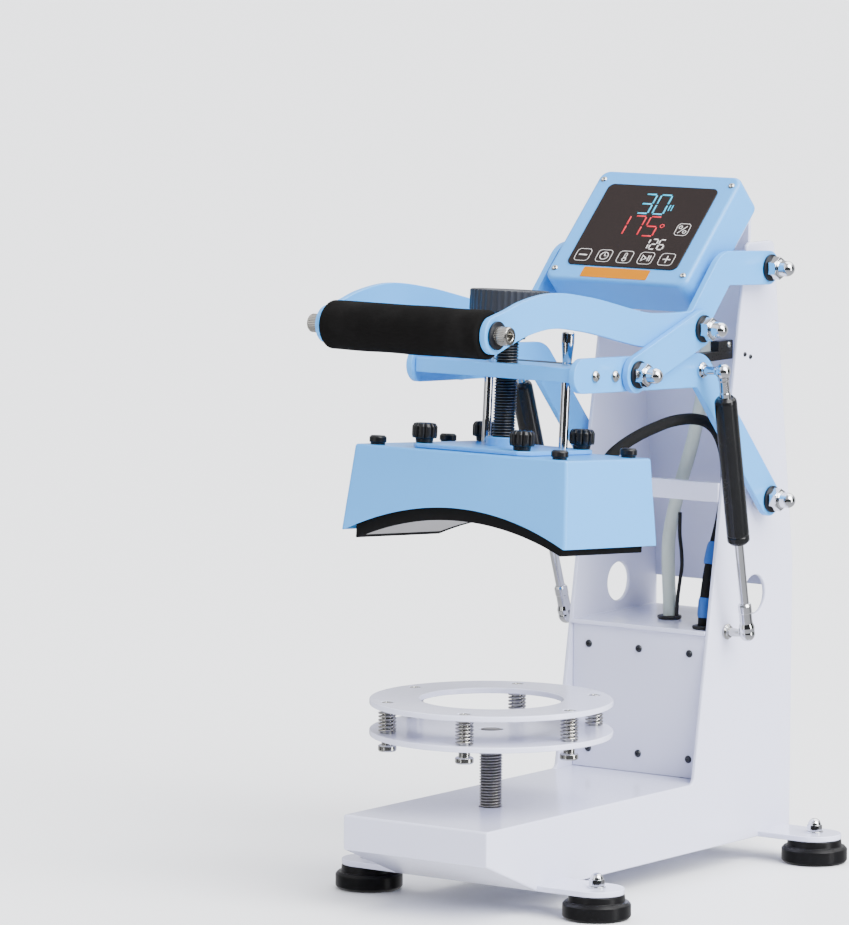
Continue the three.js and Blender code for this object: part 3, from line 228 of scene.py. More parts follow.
# Cables, with the routes that the solid model gives them
CONTROL_CABLE_RADIUS = 6.0
HEATER_CABLE_RADIUS = 5.0
CONTROL_EXIT = (28.0, 45.0)
CONTROL_DROP = (
    (29, 378, 500), (32, 390, 478), (32, 394, 440), (21, 393, 380), (4.5, 392, 325),
    (-3, 391, 288), (-2.5, 390, 255), (-1, 390, 228), (-1, 390, 200),
)
HEATER_EXIT = (54.0, 58.0)
HEATER_DROP = (
    (56.5, 208, 381), (59, 222, 389), (62, 245, 397), (64, 268, 402), (64, 292, 405),
    (64, 325, 404.5), (63.5, 350, 399), (62.5, 368, 388), (62, 380, 369), (61.5, 384, 342),
    (61, 377, 310), (61, 364, 280), (60.5, 357, 255), (60, 353, 230), (60, 352, 200),
)
SIGNAL_WIRE_RADIUS = 1.7
SIGNAL_WIRE = (
    (10.5, 388, 312), (10.5, 388, 292), (12.3, 388, 278), (13, 388, 264), (11, 388, 250), (8.8, 388, 234),
    (7.4, 389, 220), (7.2, 390, 208),
)

# The camera and the studio: degrees from straight ahead, above level and of roll, and metres
CAMERA_ANGLES = (35.75, 6.38, 0.31)
CAMERA_PLACE = (3.057, -4.459121, 0.974)
CAMERA_LENS = 264.6
CAMERA_SENSOR = 36.0
AIM_HEIGHT = 0.3
FLOOR_RADIUS = 29000.0
FLOOR_LEVEL = -0.5
SUNS = (("key", 80.0, 42.0, 8.0, 50.0), ("fill", -35.0, 28.0, 1.0, 70.0), ("back", 175.0, 62.0, 3.4, 60.0))
SOFT_BOXES = (("side_box", 98.0, 4.0, 70.0, (0.8, 2.6)), ("front_box", -8.0, 6.0, 14.0, (0.35, 2.2)))
SKY_BANDS = ((0.0, 0.9), (0.32, 0.7), (0.41, 0.04), (0.61, 0.05), (0.78, 0.9), (1.0, 1.1))
REAR_SKY = (0.9, 0.9, 0.94, 1.0)

SIDES = (("left", -1), ("right", 1))

# How far the middle of the footprint lies behind the front face of the base
support_low, support_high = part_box("lower_support_plate")
ORIGIN = np.array([0.0, SUPPORT_DEPTH - (support_low.y + support_high.y) / 2 / MM, 0.0])


# Spaces that pieces are drawn in

class Space:
    """A place to draw in: a point p of it lies at origin + rotation @ p."""

    def __init__(self, rotation=None, origin=(0.0, 0.0, 0.0)):
        self.rotation = np.eye(3) if rotation is None else np.array(rotation, float)
        self.origin = np.array(origin, float)

    def put(self, points):
        """Points of this space in the machine's own frame."""
        return np.asarray(points, float) @ self.rotation.T + self.origin

    def within(self, x=0.0, y=0.0, z=0.0, rotation=None):
        """A space inside this one, with its origin at (x, y, z) and its own turn."""
        turn = self.rotation if rotation is None else self.rotation @ np.array(rotation, float)
        return Space(turn, self.put((x, y, z)))


def about_x(angle):
    """The rotation by an angle about X."""
    c, s = math.cos(angle), math.sin(angle)
    return np.array([[1, 0, 0], [0, c, -s], [0, s, c]])


def along(axis, hint=(1.0, 0.0, 0.0)):
    """The rotation that takes Z to an axis, with X as near as it can be to the hint."""
    z = np.array(axis, float) / np.linalg.norm(axis)
    x = np.array(hint, float) - z * (z @ np.array(hint, float))
    x /= np.linalg.norm(x)
    return np.column_stack([x, np.cross(z, x), z])


SIDE_ON = np.array([[0, 0, 1], [1, 0, 0], [0, 1, 0]], float)
FACE_ON = np.array([[1, 0, 0], [0, 0, -1], [0, 1, 0]], float)
BACK_ON = np.array([[-1, 0, 0], [0, 0, 1], [0, 1, 0]], float)
OUTWARDS = along((1, 0, 0), (0, 1, 0))
MACHINE = Space()
ARM = Space(about_x(-ARM_TILT), (0, *LOWER_PIVOT))
HEAD = ARM.within(0, -HEAD_REACH, -HEAD_DROP)
BOX = Space(about_x(BOX_SLOPE), (0, *BOX_FACE_FOOT))
SUPPORT = Space(origin=(0, SUPPORT_DEPTH, 0))


def column_front(height):
    """How far back the sloping front edge of the column lies at a height."""
    return COLUMN_FOOT + (HEAD_FRONT - COLUMN_FOOT) * (height - DECK_HEIGHT) / (HEAD_HEIGHT - DECK_HEIGHT)


def metres(place):
    """A place of the machine in metres about the footprint's middle."""
    return tuple((np.array(place) - ORIGIN) * MM)


def arm_point(reach, rise):
    """The (y, z) of a place on the lower arm."""
    return ARM.put((0, -reach, rise))[1:]


# Surfaces

class Shell:
    """A surface: points (n, 3) in millimetres, faces as index tables of one width each, and for
    wound or turned work a value of three numbers at each point."""

    def __init__(self, points, faces, lay=None):
        self.points = np.asarray(points, float)
        self.faces = [np.asarray(table, int) for table in faces if len(table)]
        self.lay = np.zeros_like(self.points) if lay is None else np.asarray(lay, float)

    def __add__(self, other):
        moved = [table + len(self.points) for table in other.faces]
        return Shell(
            np.vstack([self.points, other.points]), self.faces + moved,
            np.vstack([self.lay, other.lay]),
        )

    def at(self, x=0.0, y=0.0, z=0.0):
        """The same surface moved by (x, y, z)."""
        return Shell(self.points + (x, y, z), self.faces, self.lay)

    def into(self, space):
        """The surface drawn in a space, in the machine's own frame."""
        return Shell(space.put(self.points), self.faces, self.lay)

    def mirrored(self, side=-1):
        """The surface on the other side of the middle plane where side is -1, faces still outwards."""
        if side > 0:
            return self
        return Shell(self.points * (-1, 1, 1), [table[:, ::-1] for table in self.faces], self.lay)


def joined(shells):
    """Several surfaces as one."""
    total = shells[0]
    for shell in shells[1:]:
        total = total + shell
    return total


def circle(radius, sides=48, centre=(0.0, 0.0), start=0.0):
    """Anticlockwise points of a circle: centre + radius * (cos a, sin a) for evenly spaced a."""
    angle = start + TURN * np.arange(sides) / sides
    return np.column_stack([centre[0] + radius * np.cos(angle), centre[1] + radius * np.sin(angle)])


def polar(reach, angle, height):
    """Points at a reach and an angle about Z and at a height, as one table."""
    return np.stack([reach * np.cos(angle), reach * np.sin(angle), height + 0 * angle], 2)


def off_flat(angle):
    """How far an angle is from the middle of the nearest flat of a hexagon."""
    return (angle + math.pi / 6) % (math.pi / 3) - math.pi / 6


def rounded(corners, steps=6, closed=True):
    """An outline whose corners (x, y, radius) are rounded. On each arc the radius vector turns
    evenly from the end of one straight to the start of the next."""
    places = np.array([corner[:2] for corner in corners], float)
    count = len(corners)
    rows = []
    for i, corner in enumerate(corners):
        here = places[i]
        radius = corner[2] if len(corner) > 2 else 0.0
        if radius == 0 or (not closed and i in (0, count - 1)):
            rows.append(here[None])
            continue
        back, ahead = places[i - 1] - here, places[(i + 1) % count] - here
        room = min(np.linalg.norm(back), np.linalg.norm(ahead)) / 2
        back, ahead = back / np.linalg.norm(back), ahead / np.linalg.norm(ahead)
        half = math.acos(float(np.clip(back @ ahead, -1, 1))) / 2
        reach = min(radius / math.tan(half), room)
        middle = here + (back + ahead) / np.linalg.norm(back + ahead) * reach / math.cos(half)
        sweep = math.pi - 2 * half
        share = np.linspace(0, 1, steps + 1)[:, None]
        first, last = here + back * reach - middle, here + ahead * reach - middle
        rows.append(middle + (np.sin((1 - share) * sweep) * first + np.sin(share * sweep) * last)
                    / math.sin(sweep))
    return np.concatenate(rows)


def rectangle(width, height, radius=0.0, centre=(0.0, 0.0), steps=6):
    """An anticlockwise rectangle with rounded corners."""
    x, y = centre
    w, h = width / 2, height / 2
    return rounded([
        (x - w, y - h, radius), (x + w, y - h, radius), (x + w, y + h, radius), (x - w, y + h, radius),
    ], steps)


def stadium(first, last, radius, steps=24):
    """The outline of a straight bar with round ends: half a circle about each of its two points."""
    first, last = np.array(first, float), np.array(last, float)
    lean = math.atan2(*(last - first)[::-1])
    angle = lean - math.pi / 2 + math.pi * np.arange(steps + 1) / steps
    arc = radius * np.column_stack([np.cos(angle), np.sin(angle)])
    return np.vstack([last + arc, first - arc])


def inset(loop, distance):
    """An outline moved inwards: each point goes along the mitre (n1 + n2) / (1 + n1 . n2) of the
    outward normals of its two edges."""
    edge = np.roll(loop, -1, 0) - loop
    edge /= np.linalg.norm(edge, axis=1, keepdims=True)
    normal = np.column_stack([edge[:, 1], -edge[:, 0]])
    before = np.roll(normal, 1, 0)
    return loop - distance * (normal + before) / (1 + (normal * before).sum(1, keepdims=True))


def skin(rings, wrap=False, capped=True, lay=None):
    """A surface through rings (k, n, 3): quads join each ring to the next. An end ring that has
    shrunk to a point is a pole, any other end is closed by a flat face, and wrap joins the last
    ring to the first."""
    rings = np.asarray(rings, float)
    count, size = rings.shape[:2]
    index = np.arange(count * size).reshape(count, size)
    poles = [not wrap and np.ptp(rings[end], axis=0).max() < 1e-9 for end in (0, -1)]
    for end, pole in zip((0, -1), poles):
        if pole:
            index[end] = index[end, 0]
    low, high = (index, np.roll(index, -1, 0)) if wrap else (index[:-1], index[1:])
    quads = np.stack([low, np.roll(low, -1, 1), np.roll(high, -1, 1), high], 2).reshape(-1, 4)
    low_pole, high_pole = quads[:, 0] == quads[:, 1], quads[:, 2] == quads[:, 3]
    faces = [
        quads[~(low_pole | high_pole)], quads[low_pole][:, [0, 2, 3]], quads[high_pole][:, [0, 1, 2]],
    ]
    if capped and not wrap:
        faces += [index[end][None, ::(-1 if end == 0 else 1)] for end in (0, -1) if not poles[end]]
    used = np.unique(np.concatenate([table.ravel() for table in faces]))
    lookup = np.zeros(count * size, int)
    lookup[used] = np.arange(len(used))
    lay = None if lay is None else np.asarray(lay, float).reshape(-1, 3)[used]
    return Shell(rings.reshape(-1, 3)[used], [lookup[table] for table in faces], lay)


def turned(profile, sides=64, wrap=False, swell=None):
    """A turned piece about Z: the (radius, height) points of a profile, listed with the material on
    their left, are carried round the axis. swell(radius, angle, height) may change the radius."""
    profile = np.asarray(profile, float)
    angle = TURN * np.arange(sides) / sides
    radius, height = profile[:, :1] + 0 * angle, profile[:, 1:] + 0 * angle
    reach = radius if swell is None else swell(radius, angle, height)
    return skin(polar(reach, angle, height), wrap)


def turned_soft(corners, sides=64, steps=4, **more):
    """A turned piece whose profile corners (radius, height, fillet) are rounded first."""
    return turned(rounded(corners, steps, closed=more.get("wrap", False)), sides, **more)


def hex_nut(across, foot, top, bore=0.0, chamfer=0.55):
    """A hexagon nut about Z. Its radius at an angle is the least of the hexagon's,
    across / 2 / cos(angle to the middle of the flat), and the cone's that chamfers its two ends."""
    angle = TURN * np.arange(72) / 72
    hexagon = across / 2 / np.cos(off_flat(angle))
    tip = across / 2 / math.cos(math.pi / 6)
    drop = np.array([0.0, 0.25, 0.55, 1.0]) * (tip - across / 2) * chamfer
    height = np.concatenate([foot + drop, top - drop[::-1]])
    slack = np.concatenate([drop, drop[::-1]])
    cone = across / 2 - 0.1 + slack / chamfer
    reach = np.minimum(hexagon[None], cone[:, None])
    reach = np.vstack([bore + 0 * angle, reach, bore + 0 * angle])
    return skin(polar(reach, angle, np.concatenate([[foot], height, [top]])[:, None]), wrap=bore > 0)


def filled(loops):
    """Triangles that fill the first outline apart from the others, all turned anticlockwise."""
    points = np.concatenate(loops)
    flat = [[(x, y, 0.0) for x, y in loop] for loop in loops]
    corner = np.array(tessellate_polygon(flat), int)
    a, b, c = points[corner[:, 0]], points[corner[:, 1]], points[corner[:, 2]]
    area = (b - a)[:, 0] * (c - a)[:, 1] - (b - a)[:, 1] * (c - a)[:, 0]
    corner[area < 0] = corner[area < 0][:, ::-1]
    return corner[np.abs(area) > 1e-9]


def plate(outline, foot, top, holes=(), edge=0.6, steps=3):
    """A flat plate from z = foot to top. Its rims are rounded: a ring is inset by
    edge * (1 - sin a) and lies edge * (1 - cos a) from its face, for a up to a quarter turn, and
    both faces are filled flat between the rims."""
    a = np.linspace(0, math.pi / 2, steps + 1)
    inward = np.concatenate([edge * (1 - np.sin(a)), edge * (1 - np.sin(a[::-1]))])
    level = np.concatenate([foot + edge * (1 - np.cos(a)), top - edge * (1 - np.cos(a[::-1]))])
    walls, low, high, start = [], [], [], 0
    for loop in (outline, *[hole[::-1] for hole in holes]):
        rings = [np.column_stack([inset(loop, d), np.full(len(loop), z)]) for d, z in zip(inward, level)]
        walls.append(skin(rings, capped=False))
        low.append(start + np.arange(len(loop)))
        start += len(rings) * len(loop)
        high.append(start - len(loop) + np.arange(len(loop)))
    body = joined(walls)
    if not holes:
        return Shell(body.points, body.faces + [low[0][None, ::-1], high[0][None]])
    caps = []
    for rows, turn in ((low, -1), (high, 1)):
        index = np.concatenate(rows)
        caps.append(index[filled([body.points[row][:, :2] for row in rows])][:, ::turn])
    return Shell(body.points, body.faces + caps)


def swept(path, radius, sides=16, hint=(1.0, 0.0, 0.0), capped=True):
    """A round tube along a path: at each point a circle lies square to the path's direction, with
    its zero angle turned towards the hint. The value at a point is (cos a, sin a, length so far)."""
    path = np.asarray(path, float)
    ahead = np.gradient(path, axis=0)
    ahead /= np.linalg.norm(ahead, axis=1, keepdims=True)
    hint = np.broadcast_to(np.asarray(hint, float), path.shape)
    across = hint - ahead * (hint * ahead).sum(1, keepdims=True)
    across /= np.linalg.norm(across, axis=1, keepdims=True)
    up = np.cross(ahead, across)
    angle = TURN * np.arange(sides) / sides
    reach = np.broadcast_to(np.asarray(radius, float), len(path))[:, None, None]
    round_it = np.cos(angle)[None, :, None] * across[:, None] + np.sin(angle)[None, :, None] * up[:, None]
    run = np.concatenate([[0.0], np.cumsum(np.linalg.norm(np.diff(path, axis=0), axis=1))])
    lay = np.stack(np.broadcast_arrays(np.cos(angle)[None], np.sin(angle)[None], run[:, None] * MM), 2)
    return skin(path[:, None] + reach * round_it, capped=capped, lay=lay)


def smooth_path(points, steps=12):
    """A smooth curve through points: each span is a cubic whose end slopes come from the spans
    beside it, weighted by the square roots of their lengths. The ends run on straight."""
    p = np.asarray(points, float)
    p = np.vstack([2 * p[0] - p[1], p, 2 * p[-1] - p[-2]])
    span = np.sqrt(np.linalg.norm(np.diff(p, axis=0), axis=1))[:, None]
    before, here, after = span[:-2], span[1:-1], span[2:]
    a, b, c, d = p[:-3], p[1:-2], p[2:-1], p[3:]
    leave = here * ((b - a) / before - (c - a) / (before + here) + (c - b) / here)
    arrive = here * ((c - b) / here - (d - b) / (here + after) + (d - c) / after)
    t = np.linspace(0, 1, steps, endpoint=False)[None, :, None]
    b, c, leave, arrive = b[:, None], c[:, None], leave[:, None], arrive[:, None]
    curve = ((2 * t**3 - 3 * t**2 + 1) * b + (t**3 - 2 * t**2 + t) * leave
             + (3 * t**2 - 2 * t**3) * c + (t**3 - t**2) * arrive)
    return np.vstack([curve.reshape(-1, 3), p[-2]])


def threaded(radius, foot, top, pitch, depth, sides=32):
    """A threaded rod about Z: radius - depth * g, where g climbs from crest to root and back as a
    flattened triangle wave of height / pitch - angle / turn. The value at a point is its g."""
    chamfer = 1.2
    angle = TURN * np.arange(sides) / sides
    height = np.linspace(foot, top, int((top - foot) / pitch * 8) + 1)[:, None]
    phase = (height / pitch - angle / TURN) % 1
    groove = np.clip(1.6 * np.abs(2 * phase - 1) - 0.3, 0, 1)
    end = np.minimum(height - foot, top - height)
    reach = np.minimum(radius - depth * groove, radius - chamfer + end)
    return skin(polar(reach, angle, height), lay=np.stack([groove, 0 * groove, 0 * groove], 2))


def ribbon(points, width, top=PRINT_LEVEL, closed=False, thickness=0.12):
    """A flat printed line of a given width: the path moved half a width to each side along its
    mitres, as a thin slab whose top lies at a given height."""
    points = np.asarray(points, float)
    if closed:
        outer, inner = inset(points, -width / 2), inset(points, width / 2)
        rings = [
            np.column_stack([loop, np.full(len(loop), z)])
            for loop, z in ((inner, top), (inner, top - thickness), (outer, top - thickness), (outer, top))
        ]
        return skin(rings, wrap=True)
    ahead = np.gradient(points, axis=0)
    ahead /= np.linalg.norm(ahead, axis=1, keepdims=True)
    side = np.column_stack([ahead[:, 1], -ahead[:, 0]]) * width / 2
    outline = np.vstack([points + side, (points - side)[::-1]])
    return plate(outline, top - thickness, top, edge=0.02, steps=1)


def made(name, shell, finish_name, body, replaces=(), slot=None, sharp=32.0, blended=None, flat=False):
    """Puts a surface into the scene as a piece: its mesh is in metres about the footprint's middle, its
    faces are smooth up to an angle, and it rides on a body, or is left unattached in the machine's frame
    where a blend is given."""
    mesh = bpy.data.meshes.new(name)
    mesh.vertices.add(len(shell.points))
    mesh.vertices.foreach_set("co", ((shell.points - ORIGIN) * MM).ravel())
    corners = np.concatenate([table.ravel() for table in shell.faces])
    widths = np.concatenate([np.full(len(table), table.shape[1]) for table in shell.faces])
    mesh.loops.add(len(corners))
    mesh.loops.foreach_set("vertex_index", corners)
    mesh.polygons.add(len(widths))
    mesh.polygons.foreach_set("loop_start", np.concatenate([[0], np.cumsum(widths)[:-1]]))
    if shell.lay.any():
        lay = mesh.attributes.new("lay", "FLOAT_VECTOR", "POINT")
        lay.data.foreach_set("vector", shell.lay.ravel())
    mesh.update(calc_edges=True)
    mesh.validate()
    mesh.materials.append(bpy.data.materials[finish_name + "_finish"])
    piece = bpy.data.objects.new(name, mesh)
    bpy.context.scene.collection.objects.link(piece)
    if not flat:
        mesh.shade_smooth()
        mesh.set_sharp_from_angle(angle=math.radians(sharp))
        weighted = piece.modifiers.new("weighted normals", "WEIGHTED_NORMAL")
        weighted.keep_sharp = True
    if blended:
        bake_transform(piece)
    else:
        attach(piece, body)
    if replaces:
        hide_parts(*([replaces] if isinstance(replaces, str) else replaces))
    return piece


# Finishes

class Value:
    """A socket in a tree of nodes, so that shader maths can be written as expressions."""

    def __init__(self, owner, socket):
        self.owner = owner
        self.socket = socket

    def maths(self, operation, *values):
        settings = {"operation": operation}
        return self.owner.node("ShaderNodeMath", settings, dict(enumerate(values)))

    def __add__(self, other):
        return self.maths("ADD", self, other)

    def __sub__(self, other):
        return self.maths("SUBTRACT", self, other)

    def __rsub__(self, other):
        return self.maths("SUBTRACT", other, self)

    def __mul__(self, other):
        return self.maths("MULTIPLY", self, other)

    __radd__ = __add__
    __rmul__ = __mul__

    def sine(self):
        return self.maths("SINE", self)

    def clipped(self):
        return self.maths("MINIMUM", self.maths("MAXIMUM", self, 0.0), 1.0)

    def between(self, low, high):
        """0 below low and 1 above high, with a smooth rise between them."""
        settings = {"interpolation_type": "SMOOTHSTEP"}
        return self.owner.node("ShaderNodeMapRange", settings, {0: self, 1: low, 2: high})


class Nodes:
    """A tree of shader nodes."""

    def __init__(self, tree):
        self.tree = tree

    def node(self, kind, settings, values, output=0):
        """Adds a node: its settings first, then the values or links of its sockets."""
        node = self.tree.nodes.new(kind)
        for key, value in settings.items():
            setattr(node, key, value)
        for key, value in values.items():
            self.connect(node.inputs[key], value)
        return Value(self, node.outputs[output])

    def connect(self, socket, value):
        if isinstance(value, Value):
            self.tree.links.new(value.socket, socket)
        else:
            socket.default_value = value


class Finish(Nodes):
    """A material of one coated or bare surface, with its pattern in object coordinates."""

    def __init__(self, name, colour, roughness, **constants):
        material = bpy.data.materials.new(name + "_finish")
        material.use_nodes = True
        material.diffuse_color = (*colour, 1.0)
        super().__init__(material.node_tree)
        self.shader = self.tree.nodes["Principled BSDF"]
        self.feed("Base Color", (*colour, 1.0))
        self.feed("Roughness", roughness)
        for key, value in constants.items():
            self.feed(key.replace("_", " ").title().replace("Ior", "IOR"), value)
        self.place = self.node("ShaderNodeTexCoord", {}, {}, "Object")

    def feed(self, socket, value):
        """Gives the shader's socket a value or a link."""
        self.connect(self.shader.inputs[socket], value)

    def noise(self, scale, detail=2.0, roughness=0.5, place=None):
        values = {"Vector": place or self.place, "Scale": scale, "Detail": detail, "Roughness": roughness}
        return self.node("ShaderNodeTexNoise", {"noise_dimensions": "3D"}, values)

    def cells(self, scale, feature="F1"):
        values = {"Vector": self.place, "Scale": scale}
        return self.node("ShaderNodeTexVoronoi", {"feature": feature}, values)

    def stretched(self, x, y, z):
        """The place in the object, stretched along each axis."""
        settings = {"operation": "MULTIPLY"}
        return self.node("ShaderNodeVectorMath", settings, {0: self.place, 1: (x, y, z)})

    def lay(self):
        """The three numbers that a wound or turned surface holds at each point."""
        vector = self.node("ShaderNodeAttribute", {"attribute_name": "lay"}, {}, "Vector")
        split = self.node("ShaderNodeSeparateXYZ", {}, {0: vector})
        return [Value(self, output) for output in split.socket.node.outputs]

    def mixed(self, first, second, share):
        """A colour between two, by share."""
        values = {0: share, 6: (*first, 1.0), 7: (*second, 1.0)}
        return self.node("ShaderNodeMix", {"data_type": "RGBA"}, values, 2)

    def tone(self, first, second, share):
        """Gives the surface a colour between two, by share."""
        self.feed("Base Color", self.mixed(first, second, share))

    def relief(self, height, distance, strength=1.0):
        """A bump of a height in 0 to 1, given in metres by distance."""
        values = {"Height": height, "Distance": distance, "Strength": strength}
        self.feed("Normal", self.node("ShaderNodeBump", {}, values))


def shade(colour, factor, lift=0.0):
    """A colour made darker or lighter, and lifted by a little grey."""
    return tuple(channel * factor + lift for channel in colour)


def powder_coat(name, colour, roughness):
    """Satin powder coat: orange peel in two sizes, slightly uneven gloss, and a faint cloud of
    tone across a panel."""
    coat = Finish(name, colour, roughness, specular_ior_level=0.4, coat_weight=0.15, coat_roughness=0.08)
    peel = coat.noise(620.0, 2.0) * 0.7 + coat.noise(1900.0, 1.0) * 0.3
    cloud = coat.noise(9.0, 2.0)
    coat.relief(peel, 0.00009, 0.5)
    coat.feed("Roughness", roughness + (coat.noise(160.0) - 0.5) * 0.12)
    coat.tone(shade(colour, 0.975), shade(colour, 1.02), cloud)
    return coat


def bright_metal(name, colour, roughness, grain=0.02):
    """Plated or polished metal: fine uneven polish and a few faint handling marks."""
    metal = Finish(name, colour, roughness, metallic=1.0)
    marks = metal.noise(55.0, 4.0, 0.7).between(0.58, 0.72)
    metal.feed("Roughness", roughness + marks * 0.07 + metal.noise(900.0) * grain)
    metal.tone(colour, shade(colour, 0.86), marks * 0.6)
    metal.relief(metal.noise(420.0, 3.0), 0.00004, 0.35)
    return metal


def threaded_metal(name, crest, root, roughness):
    """A rolled thread: lighter on its crests, a painted highlight with some wear, and darker and duller
    down in its roots, a painted shade with some grime.
    """
    metal = Finish(name, crest, roughness, metallic=1.0)
    groove = metal.lay()[0]
    grime = metal.noise(700.0, 3.0, 0.6)
    # Colour runs from crest to root by groove depth: painted highlight on the crests, painted shade in the
    # roots, with grime noise mixed in.
    metal.tone(crest, root, (groove * 0.8 + (grime - 0.4) * 0.5).clipped())
    metal.feed("Roughness", roughness + groove * 0.22 + (grime - 0.5) * 0.14)
    metal.relief(grime, 0.00005, 0.4)
    return metal


def moulded_plastic(name, colour, roughness, grain=900.0):
    """Moulded plastic: a fine spark-eroded grain, a little dust in it, and softer gloss on flats."""
    plastic = Finish(name, colour, roughness, specular_ior_level=0.3)
    texture = plastic.noise(grain, 2.0, 0.6)
    dust = plastic.noise(38.0, 4.0, 0.65).between(0.5, 0.8)
    plastic.tone(colour, shade(colour, 1.25, 0.002), dust)
    plastic.feed("Roughness", roughness + (texture - 0.5) * 0.2 + dust * 0.08)
    plastic.relief(texture, 0.00008, 0.45)
    return plastic


def foam_sleeve(name, colour):
    """Closed-cell foam: fine round cells under a matte skin, rubbed slightly paler in places."""
    foam = Finish(name, colour, 0.95, specular_ior_level=0.05)
    cell = foam.cells(1500.0)
    rub = foam.noise(24.0, 4.0, 0.6).between(0.45, 0.8)
    foam.tone(colour, shade(colour, 1.5, 0.0015), rub)
    foam.feed("Roughness", 0.86 + cell * 0.12)
    foam.relief(cell * 0.7 + foam.noise(300.0, 3.0) * 0.5, 0.00025, 0.7)
    return foam


def foot_rubber(name, colour):
    """Moulded rubber: matte with a fine grain, dusty in the low places."""
    rubber = Finish(name, colour, 0.3, specular_ior_level=0.12)
    grain = rubber.noise(1100.0, 3.0, 0.65)
    dust = rubber.noise(30.0, 4.0, 0.7).between(0.48, 0.78)
    rubber.tone(colour, shade(colour, 1.4, 0.003), dust * 0.7)
    rubber.feed("Roughness", 0.22 + grain * 0.2 + dust * 0.1)
    rubber.relief(grain, 0.0001, 0.5)
    return rubber


def woven_sleeve(name, colour):
    """Braided sleeving: two sets of bands wind round the cable, and where both rise the yarn
    stands proud: height = sin(16 a + k s) * sin(16 a - k s) of angle a and length s."""
    sleeve = Finish(name, colour, 0.8, specular_ior_level=0.12)
    cosine, sine, run = sleeve.lay()
    angle = sleeve.node("ShaderNodeMath", {"operation": "ARCTAN2"}, {0: sine, 1: cosine})
    ahead, back = angle * 16.0 + run * 3400.0, angle * 16.0 - run * 3400.0
    yarn = ahead.sine() * back.sine() * 0.5 + 0.5
    fibre = sleeve.noise(2600.0, 3.0, 0.7)
    # The raised yarn is painted paler: a painted sheen on the yarn tops, with random fibre tone mixed in.
    pale = shade(colour, 1.7, 0.004)
    sleeve.tone(colour, pale, (yarn * 0.6 + fibre * 0.3).clipped())
    sleeve.relief(yarn * 0.8 + fibre * 0.3, 0.0004, 0.8)
    return sleeve


def cable_sheath(name, colour, roughness=0.5):
    """Extruded sheath: smooth, with a slow waviness and faint scuffs along it."""
    sheath = Finish(name, colour, roughness, specular_ior_level=0.4)
    scuff = sheath.noise(120.0, 4.0, 0.7, sheath.stretched(1.0, 1.0, 0.25)).between(0.5, 0.75)
    sheath.tone(colour, shade(colour, 0.8), scuff * 0.6)
    sheath.feed("Roughness", roughness + scuff * 0.15)
    sheath.relief(sheath.noise(260.0, 2.0), 0.0001, 0.5)
    return sheath


def platen_face(name, colour):
    """Machined aluminium under a thin release coat: fine parallel tool marks across the arch."""
    face = Finish(name, colour, 0.38, metallic=1.0)
    marks = face.noise(900.0, 3.0, 0.6, face.stretched(0.05, 1.0, 1.0))
    heat = face.noise(14.0, 3.0).between(0.4, 0.75)
    face.tone(colour, (0.42, 0.37, 0.31), heat * 0.35)
    face.feed("Roughness", 0.3 + marks * 0.2)
    face.relief(marks, 0.00006, 0.5)
    return face


def insulation(name, colour):
    """Dense black fibre board: short matted fibres and small pits."""
    board = Finish(name, colour, 0.92, specular_ior_level=0.05)
    mat = board.noise(1300.0, 4.0, 0.75, board.stretched(1.0, 1.0, 3.0))
    pits = board.cells(420.0).between(0.0, 0.25)
    board.tone(shade(colour, 1.9, 0.002), colour, mat)
    board.relief(mat * 0.7 + pits * 0.4, 0.0003, 0.7)
    return board


def gloss_film(name, colour, shine=0.25):
    """A printed film: deep colour under gloss, with a faint fingerprint haze."""
    film = Finish(name, colour, 0.16, specular_ior_level=shine)
    haze = film.noise(45.0, 4.0, 0.7).between(0.5, 0.8)
    film.feed("Roughness", 0.14 + haze * 0.16)
    film.tone(colour, shade(colour, 1.3, 0.001), film.noise(12.0))
    film.relief(film.noise(500.0), 0.00002, 0.3)
    return film


def lit_print(name, colour, glow):
    """A lit segment or a printed line on the film, slightly uneven as light through a mask is. A printed
    line gets the same glow, which is a painted glow, since ink gives no light.
    """
    ink = Finish(name, colour, 0.4, emission_strength=glow)
    light = ink.mixed(shade(colour, 0.85), colour, ink.noise(700.0, 2.0))
    ink.feed("Emission Color", light)
    ink.feed("Base Color", light)
    return ink


def circuit_board(name, colour):
    """Solder resist over copper: straight tracks show as a faint paler grid."""
    board = Finish(name, colour, 0.35, coat_weight=0.3)
    tracks = board.cells(160.0, "DISTANCE_TO_EDGE").between(0.03, 0.07)
    board.tone(shade(colour, 1.7, 0.01), colour, tracks)
    board.relief(tracks, 0.00005, 0.5)
    return board


def studio_floor(name, colour):
    """A pale seamless floor with a very fine tooth and a soft sheen."""
    floor = Finish(name, colour, 0.42, specular_ior_level=0.3)
    floor.feed("Roughness", 0.4 + floor.noise(40.0) * 0.06)
    floor.relief(floor.noise(240.0, 2.0), 0.00004, 0.2)
    return floor


# Properties that a user would change

def millimetres(name, description, default, low, high):
    return FloatProperty(
        name=name, description=description, default=default, min=low, max=high, precision=2,
    )


def whole(name, description, default, low, high):
    return IntProperty(name=name, description=description, default=default, min=low, max=high)


def colour_of(name, description, default):
    return FloatVectorProperty(
        name=name, description=description, subtype="COLOR", size=3, default=default, min=0.0, max=1.0,
    )


